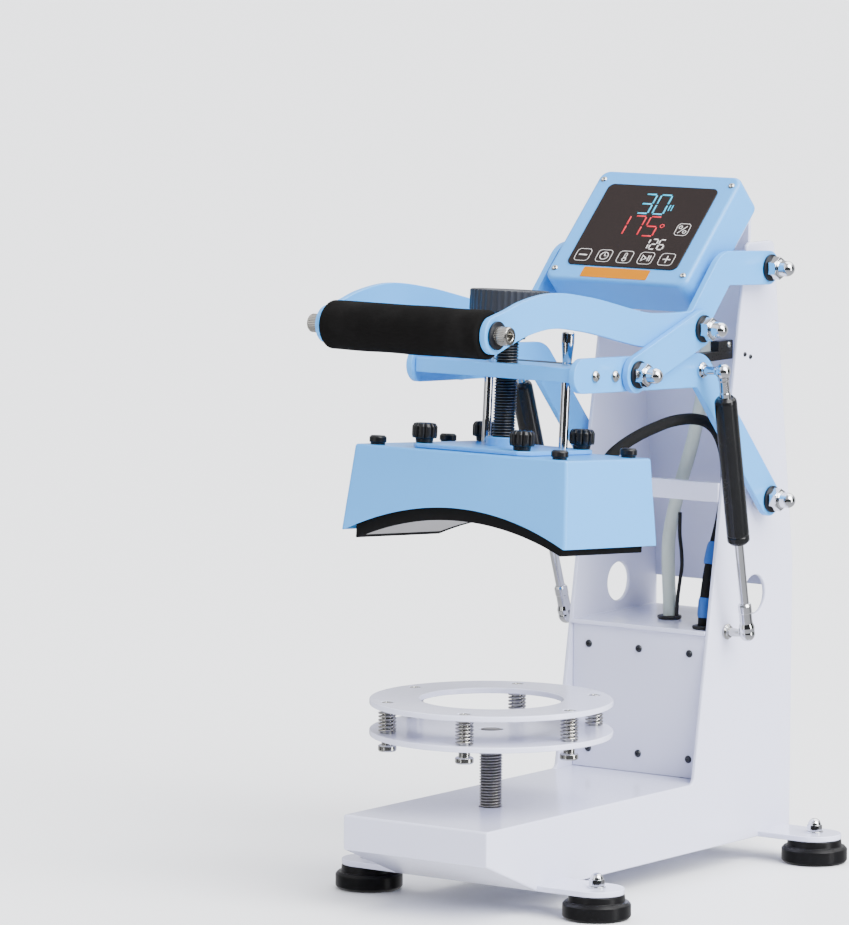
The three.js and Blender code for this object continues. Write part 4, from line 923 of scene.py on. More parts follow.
class BallPressSizes(bpy.types.PropertyGroup):
    """Sizes of details that the solid model leaves to the visible surfaces, in millimetres."""

    sheet_edge: millimetres("Sheet edge", "Radius of the coated edges of the frame's sheets", 1.3, 0.3, 1.8)
    plate_edge: millimetres("Plate edge", "Radius of the linkage plates' edges", 0.8, 0.2, 2.0)
    box_edge: millimetres("Box edge", "Radius of the control box's edges", 4.0, 0.5, 6.0)
    cover_edge: millimetres("Cover edge", "Radius of the platen cover's folded edges", 2.2, 0.5, 4.0)
    cover_corner: millimetres("Cover corner", "Radius of the platen cover's upright corners", 3.0, 0.5, 8.0)
    thread_depth: millimetres("Thread depth", "Depth of the two large screws' threads", 1.35, 0.2, 1.5)
    knob_ribs: whole("Knob ribs", "Ribs round the pressure knob", 40, 12, 60)
    thumb_lobes: whole("Thumb knob lobes", "Lobes round a thumb knob", 10, 5, 12)
    shown_seconds: whole("Seconds", "Number on the display's upper row", 30, 0, 99)
    shown_heat: whole("Heat", "Number on the display's middle row", 175, 0, 999)
    shown_count: whole("Count", "Number on the display's lower row", 126, 0, 999)


class BallPressColours(bpy.types.PropertyGroup):
    """Colours of the machine's coats, plastics and display."""

    white: colour_of("White coat", "Powder coat of the frame and the support", (0.62, 0.635, 0.80))
    blue: colour_of("Blue coat", "Powder coat of the linkage, the head and the box", (0.058, 0.318, 0.75))
    slate: colour_of("Slate", "Plastic of the pressure knob", (0.018, 0.021, 0.029))
    foam: colour_of("Foam", "Sleeve of the grip", (0.0045, 0.0043, 0.0042))
    sheath: colour_of("Grey sheath", "Sheath of the control cable", (0.42, 0.47, 0.43))
    shrink: colour_of("Blue sleeve", "Shrink sleeves on the heater cable", (0.012, 0.09, 0.34))
    amber: colour_of("Amber strip", "Blank strip under the panel", (0.42, 0.14, 0.0))
    seconds: colour_of("Seconds", "Lit segments of the display's upper row", (0.0, 0.40, 0.62))
    heat: colour_of("Heat", "Lit segments of the display's middle row", (0.55, 0.004, 0.02))


def sizes():
    """The sizes that the user has set."""
    return bpy.context.scene.ball_press_sizes


class PressOperator:
    """What the operators of this press share."""

    bl_options = {"REGISTER", "UNDO"}


def make_finishes():
    c = bpy.context.scene.ball_press_colours
    powder_coat("white_coat", tuple(c.white), 0.15)
    powder_coat("blue_coat", tuple(c.blue), 0.36)
    bright_metal("chrome", (0.62, 0.63, 0.65), 0.07)
    bright_metal("zinc_plate", (0.50, 0.50, 0.48), 0.2, 0.05)
    bright_metal("spring_steel", (0.42, 0.41, 0.38), 0.17, 0.04)
    bright_metal("black_oxide", (0.055, 0.057, 0.062), 0.32, 0.05)
    # In each thread the crest colour against the much darker root colour paints a highlight on the crests
    # and shade in the roots.
    threaded_metal("black_thread", (0.13, 0.125, 0.12), (0.01, 0.01, 0.011), 0.3)
    threaded_metal("zinc_thread", (0.40, 0.385, 0.35), (0.025, 0.024, 0.022), 0.26)
    foot_rubber("foot_rubber", (0.006, 0.006, 0.0066))
    foam_sleeve("foam", tuple(c.foam))
    moulded_plastic("black_plastic", (0.005, 0.005, 0.0056), 0.3)
    moulded_plastic("washer_black", (0.006, 0.007, 0.011), 0.45)
    moulded_plastic("slate_plastic", tuple(c.slate), 0.42)
    moulded_plastic("gas_black", (0.0055, 0.0058, 0.0065), 0.22, 700.0)
    platen_face("platen_aluminium", (0.60, 0.60, 0.60))
    insulation("insulation_black", (0.0045, 0.0045, 0.0047))
    gloss_film("panel_black", (0.010, 0.0058, 0.0050))
    gloss_film("amber_film", tuple(c.amber), 0.02)
    lit_print("seconds_lit", tuple(c.seconds), 0.45)
    lit_print("heat_lit", tuple(c.heat), 0.3)
    # White printed ink is given a glow here: a painted glow.
    lit_print("white_print_painted_glow", (0.60, 0.58, 0.56), 0.2)
    circuit_board("board_green", (0.012, 0.10, 0.045))
    moulded_plastic("relay_blue", (0.02, 0.09, 0.30), 0.4)
    cable_sheath("grey_sleeve", tuple(c.sheath))
    cable_sheath("shrink_blue", tuple(c.shrink), 0.42)
    cable_sheath("wire_black", (0.005, 0.005, 0.0052), 0.45)
    woven_sleeve("black_sleeve", (0.0045, 0.0045, 0.0045))
    studio_floor("studio_floor", (0.86, 0.87, 0.89))


class BALLPRESS_OT_finishes(PressOperator, bpy.types.Operator):
    """Makes the finishes of every surface"""

    bl_idname = "ball_press.finishes"
    bl_label = "Finishes"

    def execute(self, context):
        make_finishes()
        return {"FINISHED"}


# Drawing in the planes of the machine

def side_plate(outline, start, end, holes=(), edge=0.8, space=MACHINE, side=1):
    """A plate drawn as (y, z) that lies between two places in X."""
    return plate(outline, start, end, holes, edge).into(space.within(rotation=SIDE_ON)).mirrored(side)


def front_plate(outline, front, back, holes=(), edge=0.4, space=MACHINE):
    """A plate drawn as (x, z) that lies between two places in Y."""
    return plate(outline, -back, -front, holes, edge).into(space.within(rotation=FACE_ON))


def level_plate(outline, foot, top, holes=(), edge=0.6, space=MACHINE):
    """A plate drawn as (x, y) that lies between two heights."""
    return plate(outline, foot, top, holes, edge).into(space)


def bent_bar(path, half, steps=14):
    """The outline of a flat bar along a path, with a round end at each end of it: the path is moved
    half a width to its right on the way out and to its left on the way back."""
    path = np.asarray(path, float)
    ahead = np.gradient(path, axis=0)
    ahead /= np.linalg.norm(ahead, axis=1, keepdims=True)
    right = np.column_stack([ahead[:, 1], -ahead[:, 0]])
    half = np.broadcast_to(np.asarray(half, float), len(path))[:, None]
    a = math.pi * np.arange(1, steps)[:, None] / steps
    last = path[-1] + half[-1] * (right[-1] * np.cos(a) + ahead[-1] * np.sin(a))
    first = path[0] - half[0] * (right[0] * np.cos(a) + ahead[0] * np.sin(a))
    return np.vstack([path + right * half, last, (path - right * half)[::-1], first])


def dome(radius, foot, rise, steps):
    """The profile of a round end: its radius falls with the cosine of an angle as its height
    rises with the sine."""
    a = np.linspace(0, math.pi / 2, steps)
    points = np.column_stack([radius * np.cos(a), foot + rise * np.sin(a)])
    points[-1, 0] = 0
    return points


def acorn_nut():
    """A cap nut about Z on its washer's face: a hexagon, a collar, and a round-ended cap."""
    radius, foot = 6.8, WASHER_THICKNESS + 8.4
    middle = WASHER_THICKNESS + NUT_LENGTH - radius
    neck = rounded([(0, foot - 2), (7.8, foot - 2), (7.8, foot + 0.8, 0.5), (radius, foot + 1.6, 0.6),
                    (radius, middle - 0.5)], 4, closed=False)
    cap = turned(np.vstack([neck, dome(radius, middle, radius, 14)]), 48)
    return hex_nut(NUT_ACROSS, WASHER_THICKNESS, foot) + cap


def washer():
    """A flat washer about Z."""
    return turned_soft([
        (PIVOT_RADIUS, 0, 0), (WASHER_RADIUS, 0, 0.5), (WASHER_RADIUS, WASHER_THICKNESS, 0.5),
        (PIVOT_RADIUS, WASHER_THICKNESS, 0),
    ], wrap=True)


def socket_screw(radius, height, across, dome=0.0):
    """A screw head about Z with a hexagon socket. Its top falls away towards its rim by the dome."""
    rim = height - dome
    corner = min(0.5, radius / 8)
    depth = height * 0.6
    ring = 36
    angle = TURN * np.arange(ring) / ring
    share = np.linspace(0, 1, 6)[:, None]
    mouth_at = across / 2 + 0.5
    mouth = np.minimum(across / 2 / np.cos(off_flat(angle)), across / 2 / math.cos(math.pi / 6))
    radii = np.vstack([
        0 * angle, mouth * 0.999, mouth, np.full(ring, mouth_at + 0.15),
        mouth_at + 0.15 + (radius - corner - mouth_at - 0.15) * share[1:] + 0 * angle,
        np.full(ring, radius), np.full(ring, radius), 0 * angle,
    ])
    fall = dome * share[1:, 0] ** 2
    heights = np.concatenate([
        [height - depth, height - depth, height - 0.25, height], height - fall, [rim - corner, 0, 0],
    ])[:, None]
    return skin(polar(radii, angle, heights)[::-1])


def both_sides(shell):
    """The surface together with its mirror image on the other side."""
    return shell + shell.mirrored()


def outwards(place):
    """A space at a (y, z) of the middle plane, whose Z runs out to the right."""
    return Space(OUTWARDS, (0, *place))


def matched(name, shell, finish_name, body, node, **more):
    """A piece that stands for a node, with the finish that is named."""
    return made(name, shell, finish_name, body, node, finish_name, **more)


def frame_sheet(name, shell, **more):
    """A white sheet of the welded frame."""
    matched(name, shell, "white_coat", "frame", "welded_frame", **more)


def away(azimuth, elevation):
    """The direction from the machine to a place at an azimuth and an elevation in degrees."""
    azimuth, elevation = math.radians(azimuth), math.radians(elevation)
    level = math.cos(elevation)
    return np.array([math.sin(azimuth) * level, -math.cos(azimuth) * level, math.sin(elevation)])


def put_light(lamp, azimuth, elevation, reach):
    """Stands a light at an azimuth and elevation seen from the machine, turned to face it."""
    back = away(azimuth, elevation)
    source = bpy.data.objects.new(lamp.name, lamp)
    place = Matrix.Translation((back * reach + (0, 0, AIM_HEIGHT)).tolist())
    source.matrix_world = place @ Matrix(along(back, np.cross((0, 0, 1), back)).tolist()).to_4x4()
    bpy.context.scene.collection.objects.link(source)


def make_surround():
    """A pale surround with a dark band at eye level in front of the machine, so that bright
    metal has something to reflect. The band fades out towards the back."""
    world = bpy.data.worlds.new("studio")
    world.use_nodes = True
    bpy.context.scene.world = world
    sky = Nodes(world.node_tree)
    place = sky.node("ShaderNodeTexCoord", {}, {}, "Generated")
    height = sky.node("ShaderNodeSeparateXYZ", {}, {0: place}, "Z")
    level = sky.node("ShaderNodeMapRange", {}, {0: height, 1: -1.0})
    tone = sky.node("ShaderNodeValToRGB", {}, {0: level})
    settings = {"operation": "DOT_PRODUCT"}
    ahead = sky.node("ShaderNodeVectorMath", settings, {0: place, 1: (0.58, -0.81, 0.0)}, "Value")
    share = sky.node("ShaderNodeMapRange", {}, {0: ahead, 1: -0.6, 2: -0.2})
    mix = sky.node("ShaderNodeMix", {"data_type": "RGBA"}, {0: share, 6: REAR_SKY, 7: tone}, 2)
    background = sky.tree.nodes["Background"]
    sky.connect(background.inputs["Color"], mix)
    sky.connect(background.inputs["Strength"], 1.0)
    ramp = tone.socket.node.color_ramp
    ramp.interpolation = "EASE"
    for position, _ in SKY_BANDS[1:-1]:
        ramp.elements.new(position)
    for element, (position, grey) in zip(ramp.elements, SKY_BANDS):
        element.position = position
        element.color = (grey, grey, grey * 1.05, 1.0)


def make_stage():
    azimuth, elevation, roll = CAMERA_ANGLES
    back = away(azimuth, elevation)
    right = np.cross(-back, (0, 0, 1))
    right /= np.linalg.norm(right)
    up = np.cross(right, -back)
    c, s = math.cos(math.radians(roll)), math.sin(math.radians(roll))
    turn = np.column_stack([c * right + s * up, -s * right + c * up, back])
    camera = bpy.data.objects.new("camera", bpy.data.cameras.new("camera"))
    camera.data.sensor_fit = "HORIZONTAL"
    camera.data.sensor_width = CAMERA_SENSOR
    camera.data.lens = CAMERA_LENS
    camera.data.clip_end = 60.0
    camera.matrix_world = Matrix.Translation(CAMERA_PLACE) @ Matrix(turn.tolist()).to_4x4()
    bpy.context.scene.collection.objects.link(camera)
    bpy.context.scene.camera = camera

    under, over = FLOOR_LEVEL - 0.4, FLOOR_LEVEL
    floor_shell = turned([(0, under), (FLOOR_RADIUS, under), (FLOOR_RADIUS, over), (0, over)], 96)
    mesh = bpy.data.meshes.new("studio_floor")
    corners = [face.tolist() for table in floor_shell.faces for face in table]
    mesh.from_pydata((floor_shell.points * MM).tolist(), [], corners)
    mesh.materials.append(bpy.data.materials["studio_floor_finish"])
    floor = bpy.data.objects.new("studio_floor", mesh)
    bpy.context.scene.collection.objects.link(floor)
    floor.visible_glossy = False

    for name, azimuth, elevation, power, spread in SUNS:
        lamp = bpy.data.lights.new(name, "SUN")
        lamp.energy = power
        lamp.angle = math.radians(spread)
        put_light(lamp, azimuth, elevation, 3.0)
    for name, azimuth, elevation, power, size in SOFT_BOXES:
        lamp = bpy.data.lights.new(name, "AREA")
        lamp.shape = "RECTANGLE"
        lamp.energy = power
        lamp.size, lamp.size_y = size
        put_light(lamp, azimuth, elevation, 3.4)
    make_surround()


class BALLPRESS_OT_stage(PressOperator, bpy.types.Operator):
    """Makes the camera, the soft studio lights and the pale floor"""

    bl_idname = "ball_press.stage"
    bl_label = "Stage"

    def execute(self, context):
        make_stage()
        return {"FINISHED"}



def cable(name, route, radius, finish_name, body=None, blended=None, replaces=()):
    """A cable along a route, as a tube of its radius."""
    piece = made(name, swept(route, radius, 24), finish_name, body, replaces, blended=blended)


def make_cables():
    back = np.array([0, math.sin(BOX_SLOPE), -math.cos(BOX_SLOPE)])
    wall = 1.25
    exit_x, exit_along = CONTROL_EXIT
    start = BOX.put((exit_x, exit_along, -BOX_THICKNESS)) + back * wall
    lead = start + back * 13.0
    control = smooth_path([start, lead, *CONTROL_DROP], 14)
    cable("control_lead", control, CONTROL_CABLE_RADIUS, "grey_sleeve", "frame", replaces="control_cable")

    taper = (COVER_BOTTOM[1] - COVER_TOP[1]) / 2 / COVER_HEIGHT
    exit_x, exit_rise = HEATER_EXIT
    reach = HEAD_REACH - COVER_BOTTOM[1] / 2 + taper * exit_rise - 0.8
    start = (exit_x, *arm_point(reach, exit_rise - HEAD_DROP))
    lead = (exit_x, *arm_point(reach - 6.0, exit_rise - HEAD_DROP + 6.0 * taper))
    heater = smooth_path([start, lead, *HEATER_DROP], 12)
    blend = ("arms", "frame", metres((62, 245, 401)), metres((63, 352, 394)))
    cable("heater_lead", heater, HEATER_CABLE_RADIUS, "black_sleeve", blended=blend,
          replaces="heater_cable")
    signal = smooth_path(SIGNAL_WIRE, 10)
    cable("signal_wire", signal, SIGNAL_WIRE_RADIUS, "wire_black", "frame")

    for name, route, radius in (
        ("control_grommet", control, CONTROL_CABLE_RADIUS),
        ("heater_grommet", heater, HEATER_CABLE_RADIUS),
    ):
        x, y = route[-1][:2]
        ring = turned_soft([
            (radius + 0.1, -2.2, 0.6), (radius + 1.6, -2.2, 0.6), (radius + 5.0, 1.2, 1.0),
            (radius + 5.0, 3.4, 1.2), (radius + 0.1, 3.4, 1.2),
        ], wrap=True)
        made(name, ring.at(x, y, SHELF_HEIGHT), "wire_black", "frame")
    for name, low, high, wall in (
        ("shrink_sleeve_upper", 271.0, 292.0, 1.6), ("shrink_sleeve_lower", 225.0, 244.0, 0.9),
    ):
        part = heater[(heater[:, 2] > low) & (heater[:, 2] < high) & (heater[:, 1] > 340)]
        radius = HEATER_CABLE_RADIUS + wall - 0.6 * np.linspace(-1, 1, len(part)) ** 8
        made(name, swept(part, radius, 20), "shrink_blue", "frame")


class BALLPRESS_OT_cables(PressOperator, bpy.types.Operator):
    """Makes the control cable, the heater cable, the signal wire, their sleeves and grommets"""

    bl_idname = "ball_press.cables"
    bl_label = "Cables"

    def execute(self, context):
        make_cables()
        return {"FINISHED"}


def bracket_outline():
    """The folded bracket behind the control box: a flange along its back and a leg below it."""
    def behind(along_box, depth):
        return BOX.put((0, along_box, -BOX_THICKNESS - depth))[1:]

    foot, foot_back = behind(82.0, GAP), behind(82.0, GAP + THIN_SHEET)
    top, top_back = behind(118.0, GAP), behind(118.0, GAP + THIN_SHEET)
    leg = behind(118.0 - THIN_SHEET, GAP + THIN_SHEET)
    level = HEAD_HEIGHT - 34.0
    return np.array([
        foot, foot_back, (leg[0] - THIN_SHEET, leg[1] - THIN_SHEET * math.tan(BOX_SLOPE)),
        (leg[0] - THIN_SHEET, level), (leg[0], level), top_back, top,
    ])


def weld_beads():
    """Fillet welds under the deck and beside the tabs: beads whose radius ripples along a path."""
    beads = []
    for z in (SHELF_HEIGHT, SHELF_HEIGHT - SHEET):
        beads.append(((INNER_FACE, SHELF_FRONT + 4, z), (INNER_FACE, FRAME_DEPTH - 6, z)))
    for _, depth in FOOT_DEPTHS:
        for y in (depth - TAB_RADIUS, depth + TAB_RADIUS):
            z = FOOT_HEIGHT + TAB_THICKNESS
            beads.append(((INNER_FACE - 30, y, z), (INNER_FACE, y, z)))
    level = BRACE_CENTRE + BRACE_HEIGHT / 2
    y = column_front(level)
    beads.append(((INNER_FACE, y + 1, level), (INNER_FACE, y + BRACE_DEPTH - 3, level)))
    shells = []
    for first, last in beads:
        path = np.linspace(first, last, max(8, int(np.linalg.norm(np.subtract(last, first)) / 0.6)))
        ripple = 1.1 + 0.22 * np.sin(np.arange(len(path)) * 2.1) * np.cos(np.arange(len(path)) * 0.37)
        ripple[[0, -1]] = 0.3
        shells.append(both_sides(swept(path, ripple, 10, (0.3, 0.2, 1.0))))
    return joined(shells)


def make_frame():
    edge = sizes().sheet_edge
    lift = 0.03
    outline = rounded([
        (0, DECK_HEIGHT - FACE_HEIGHT, 2), (LIP_DEPTH, FOOT_HEIGHT, 3), (FRAME_DEPTH, FOOT_HEIGHT),
        (FRAME_DEPTH, KNEE_HEIGHT, 2), (HEAD_REAR, HEAD_HEIGHT, HEAD_CORNER),
        (HEAD_FRONT, HEAD_HEIGHT, HEAD_CORNER), (COLUMN_FOOT, DECK_HEIGHT, 6), (0, DECK_HEIGHT, 2.2),
    ], 8)
    y, z, radius = SIDE_HOLE
    hole = circle(radius, 64, (y, z))
    for name, side in SIDES:
        shell = side_plate(outline, INNER_FACE, HALF_FRAME, [hole], edge, side=side)
        frame_sheet(f"frame_side_{name}", shell)

    reach = HALF_FRAME - edge
    low = DECK_HEIGHT - FACE_HEIGHT
    slope = (low - FOOT_HEIGHT) / LIP_DEPTH
    front = rounded([
        (10, DECK_HEIGHT + lift / 2), (-lift, DECK_HEIGHT + lift / 2, 2.2), (-lift, low, 2.2),
        (LIP_DEPTH, FOOT_HEIGHT - lift), (LIP_DEPTH, FOOT_HEIGHT + SHEET),
        (SHEET, low + SHEET * (1 - slope), 1), (SHEET, DECK_HEIGHT - SHEET, 1), (10, DECK_HEIGHT - SHEET),
    ], 8)
    frame_sheet("front_sheet", side_plate(front, -reach, reach, edge=0.3))
    deck = rectangle(2 * reach, FRAME_DEPTH - 3, 0, (0, (FRAME_DEPTH + 1) / 2))
    screw_hole = circle(SCREW_RADIUS + 0.4, 48, (0, SUPPORT_DEPTH))
    shell = level_plate(deck, DECK_HEIGHT - SHEET, DECK_HEIGHT + lift, [screw_hole], 0.1)
    frame_sheet("deck", shell)

    foot, top = (FRAME_DEPTH, WINDOW_TOP), (FRAME_DEPTH, KNEE_HEIGHT)
    head = (FRAME_DEPTH + (HEAD_REAR - FRAME_DEPTH) * (HEAD_HEIGHT - HEAD_CORNER - KNEE_HEIGHT)
            / (HEAD_HEIGHT - KNEE_HEIGHT), HEAD_HEIGHT - HEAD_CORNER)
    rear = rounded([
        foot, (*top, 3), head, (head[0] - THIN_SHEET, head[1]), (top[0] - THIN_SHEET, top[1], 1),
        (foot[0] - THIN_SHEET, foot[1]),
    ], 6)
    shell = side_plate(rear, -reach, reach, edge=0.3)
    shell.points[:, 1] += lift
    frame_sheet("rear_sheet", shell)
    frame_sheet("box_bracket", side_plate(bracket_outline(), -INNER_FACE, INNER_FACE, edge=0.3))

    tabs = []
    for row, depth in FOOT_DEPTHS:
        outline = stadium((-FOOT_SPREAD, depth), (FOOT_SPREAD, depth), TAB_RADIUS)
        if row == "front":
            start = math.asin((depth + TAB_RADIUS - SUPPORT_DEPTH) / SCREW_NOTCH)
            a = np.linspace(start, -math.pi - start, 33)
            notch = np.column_stack([SCREW_NOTCH * np.cos(a), SUPPORT_DEPTH + SCREW_NOTCH * np.sin(a)])
            half = len(outline) // 2
            outline = np.vstack([outline[:half], notch, outline[half:]])
        tabs.append(level_plate(outline, FOOT_HEIGHT, FOOT_HEIGHT + TAB_THICKNESS, edge=0.9))
    frame_sheet("foot_tabs", joined(tabs))

    shelf_depth = FRAME_DEPTH - THIN_SHEET - SHELF_FRONT
    shelf = rectangle(2 * INNER_FACE, shelf_depth, 0, (0, SHELF_FRONT + shelf_depth / 2))
    cables = (CONTROL_DROP, CONTROL_CABLE_RADIUS), (HEATER_DROP, HEATER_CABLE_RADIUS)
    holes = [circle(radius + 0.6, 32, route[-1][:2]) for route, radius in cables]
    shell = level_plate(shelf, SHELF_HEIGHT - SHEET, SHELF_HEIGHT, holes, 0.8)
    frame_sheet("shelf", shell)
    y = column_front(BRACE_CENTRE - BRACE_HEIGHT / 2)
    brace = rectangle(2 * INNER_FACE, BRACE_HEIGHT, 0.8, (0, BRACE_CENTRE))
    frame_sheet("column_brace", front_plate(brace, y, y + BRACE_DEPTH, edge=0.8))
    nut = hex_nut(29.4, DECK_HEIGHT - SHEET - 14.0, DECK_HEIGHT - SHEET / 2, SCREW_RADIUS + 0.3)
    frame_sheet("support_nut", nut.into(SUPPORT))
    frame_sheet("weld_beads", weld_beads(), sharp=80)


class BALLPRESS_OT_frame(PressOperator, bpy.types.Operator):
    """Makes the folded and welded sheets of the frame"""

    bl_idname = "ball_press.frame"
    bl_label = "Welded frame"

    def execute(self, context):
        make_frame()
        return {"FINISHED"}


def make_feet():
    rim, top = 14.7, FOOT_HEIGHT - GAP
    stud_top = FOOT_HEIGHT + TAB_THICKNESS + 11.0
    rubber = turned_soft([
        (0, 0.6, 0), (FOOT_RADIUS - 9, 0.6, 0.4), (FOOT_RADIUS - 7.5, 0, 0.4), (FOOT_RADIUS - 2, 0, 1.2),
        (FOOT_RADIUS, 2.2, 1.6), (FOOT_RADIUS, rim - 2.4, 1.8), (FOOT_RADIUS - 2.2, rim, 1.4),
        (24.6, rim, 0.8), (24.0, top, 1.0), (0, top, 0),
    ], 96, 6)
    stud = turned([(0, top - 1), (4.0, top - 1), (4.0, stud_top), (0, stud_top)], 32)
    seat = FOOT_HEIGHT + TAB_THICKNESS
    ring = turned_soft([(4.1, seat, 0), (8.0, seat, 0.3), (8.0, seat + 1.4, 0.3), (4.1, seat + 1.4, 0)],
                       wrap=True)
    nut = hex_nut(FOOT_NUT_ACROSS, seat + 1.4, seat + 7.4)
    cap = turned(np.vstack([[(0, seat + 6.6), (5.7, seat + 6.6)], dome(5.7, seat + 7.6, 5.4, 12)]), 48)
    for side_name, side in SIDES:
        for row, depth in FOOT_DEPTHS:
            x = side * FOOT_SPREAD
            name, node = f"{row}_{side_name}", f"rubber_foot_{row}_{side_name}"
            matched(f"foot_{name}", rubber.at(x, depth), "foot_rubber", "frame", node)
            fixing = (stud + ring + nut + cap).at(x, depth)
            matched(f"foot_nut_{name}", fixing, "chrome", "frame", node)


class BALLPRESS_OT_feet(PressOperator, bpy.types.Operator):
    """Makes the four stepped rubber feet with the cap nuts on their studs"""

    bl_idname = "ball_press.feet"
    bl_label = "Feet"

    def execute(self, context):
        make_feet()
        return {"FINISHED"}


def make_pivots():
    seat = ARM_OUTER + GAP
    for name, (y, z) in (("upper", UPPER_PIVOT), ("lower", LOWER_PIVOT)):
        place = outwards((y, z))
        end = seat + 4
        rod = turned([(0, -end), (PIVOT_RADIUS, -end), (PIVOT_RADIUS, end), (0, end)], 48).into(place)
        spacer = turned_soft([
            (PIVOT_RADIUS, HALF_FRAME + GAP, 0), (SPACER_RADIUS, HALF_FRAME + GAP, 0.6),
            (SPACER_RADIUS, ARM_INNER - GAP, 0.6), (PIVOT_RADIUS, ARM_INNER - GAP, 0),
        ], wrap=True).into(place)
        nut = acorn_nut().at(z=seat).into(place)
        metal = joined([rod, both_sides(spacer), both_sides(nut)])
        matched(f"{name}_shaft_and_nuts", metal, "chrome", "frame", f"{name}_pivot_shaft")
        rings = both_sides(washer().at(z=seat).into(place))
        made(f"{name}_shaft_washers", rings, "washer_black", "frame", f"{name}_pivot_shaft")


class BALLPRESS_OT_pivots(PressOperator, bpy.types.Operator):
    """Makes the two pivot shafts with their spacers, black washers and cap nuts"""

    bl_idname = "ball_press.pivots"
    bl_label = "Pivot shafts"

    def execute(self, context):
        make_pivots()
        return {"FINISHED"}


def link_bolt():
    """The bolt that joins the handle and a link, with its cap nut."""
    place = outwards(LINK_PIVOT)
    shank = turned([
        (0, ARM_INNER), (PIVOT_RADIUS, ARM_INNER), (PIVOT_RADIUS, LINK_OUTER + 4), (0, LINK_OUTER + 4),
    ], 32)
    return (shank + acorn_nut().at(z=LINK_OUTER + GAP)).into(place)


def knurled_head():
    """A socket cap head: its side is knurled by 36 small vee grooves, |sin(36 a / 2)|, that fade
    out towards both ends."""
    top = GRIP_HEAD_LENGTH
    across = GRIP_SOCKET / 2
    levels = np.concatenate([[0.0, 0.5], np.linspace(1.4, top - 2.0, 6), [top - 1.4, top - 0.7, top]])
    slack = np.concatenate([[0.4, 0.0], np.zeros(6), [0.05, 0.25, 0.8]])
    side = np.column_stack([GRIP_HEAD_RADIUS - slack, levels])
    socket = [(across + 0.9, top), (across + 0.5, top - 0.2), (across + 0.2, top - 0.6)]
    floor = [(across, top - 5.0), (0, top - 5.0)]
    profile = np.vstack([[(0, 0)], side, socket, floor])

    def swell(radius, angle, height):
        knurl = np.abs(np.sin(18 * angle)) * 0.3
        ribbed = (radius > GRIP_HEAD_RADIUS - 0.1) & (height > 1.0) & (height < top - 1.5)
        flat = off_flat(angle)
        hexagon = np.minimum(radius / np.cos(flat), radius)
        socket_wall = (radius > 0) & (radius < across + 0.3)
        reach = np.where(ribbed, radius - knurl, radius)
        hollow = 1 - 0.13 * (np.abs(flat) < 0.3) * (0.3 - np.abs(flat))
        return np.where(socket_wall, hexagon * hollow, reach)

    return turned(profile, 144, swell=swell)


def foam_tube():
    """The foam sleeve: a tube whose outside swells and sags with its height h and angle a by
    0.13 sin(0.09 h) + 0.09 sin(3 a + 0.13 h), and rolls in at its ends."""
    end = ARM_INNER - 2 * GAP
    bore = GRIP_BAR_RADIUS + 0.3
    roll = 3.2
    a = np.linspace(0, math.pi / 2, 7)
    outer = np.linspace(-end + roll, end - roll, 60)
    low = np.column_stack([GRIP_RADIUS - roll + roll * np.sin(a), -end + roll - roll * np.cos(a)])
    high = np.column_stack([GRIP_RADIUS - roll + roll * np.cos(a), end - roll + roll * np.sin(a)])
    middle = np.column_stack([np.full(len(outer), GRIP_RADIUS), outer])[1:-1]
    profile = np.vstack([[(bore, -end)], low, middle, high, [(bore, end)]])

    def swell(radius, angle, height):
        wave = 0.13 * np.sin(height * 0.09) + 0.09 * np.sin(3 * angle + height * 0.13)
        return np.where(radius > GRIP_RADIUS - 1.5, radius - 0.22 + wave, radius)

    return turned(profile, 96, wrap=True, swell=swell)


def make_handle():
    y, z = GRIP_PIVOT
    r = WAVE_STEP
    link_y, link_z = LINK_PIVOT
    bends = (
        (y + r, z + r / 4), (y + 2 * r, z + r / 2), (y + 3.9 * r, z + 0.68 * r),
        (y + 6.4 * r, z + 0.36 * r), (link_y - 3.5 * r, link_z + 0.17 * r),
        (link_y - 1.6 * r, link_z + 0.03 * r),
    )
    wave = smooth_path([(y, z, GRIP_END_RADIUS), *((*bend, ARM_HALF_WIDTH) for bend in bends)], 10)
    rise = rounded([
        tuple(wave[-1, :2]), (*LINK_PIVOT, 20), (*HANDLE_KNEE, 17), UPPER_PIVOT,
    ], 12, closed=False)[1:]
    path = np.vstack([wave[:, :2], rise])
    half = np.concatenate([wave[:, 2], np.full(len(rise), ARM_HALF_WIDTH)])
    outline = bent_bar(path, half, 20)
    for name, side in SIDES:
        shell = side_plate(outline, ARM_INNER, ARM_OUTER, edge=sizes().plate_edge, side=side)
        matched(f"handle_plate_{name}", shell, "blue_coat", "handle", f"handle_arm_{name}")
        bolt = link_bolt()
        matched(f"link_bolt_and_nut_{name}", bolt.mirrored(side), "chrome", "handle", f"link_bolt_{name}")
        ring = washer().at(z=LINK_OUTER + GAP).into(outwards(LINK_PIVOT))
        made(f"link_bolt_washer_{name}", ring.mirrored(side), "washer_black", "handle", f"link_bolt_{name}")

    place = outwards(GRIP_PIVOT)
    end = ARM_INNER - GAP
    bar = turned_soft([
        (0, -end, 0), (GRIP_BAR_RADIUS, -end, 0.6), (GRIP_BAR_RADIUS, end, 0.6), (0, end, 0),
    ]).into(place)
    seat = ARM_OUTER + GAP
    head = knurled_head().at(z=seat + WASHER_THICKNESS).into(place)
    matched("grip_rod", bar, "chrome", "handle", "grip_bar")
    made("grip_bolts", both_sides(head), "spring_steel", "handle", "grip_bar")
    made("grip_washers", both_sides(washer().at(z=seat).into(place)), "washer_black", "handle", "grip_bar")
    foam = matched("foam_sleeve", foam_tube().into(place), "foam", "handle", "foam_grip", sharp=60)


class BALLPRESS_OT_handle(PressOperator, bpy.types.Operator):
    """Makes the two waved handle plates, the grip bar, its bolts and the foam sleeve"""

    bl_idname = "ball_press.handle"
    bl_label = "Handle"

    def execute(self, context):
        make_handle()
        return {"FINISHED"}


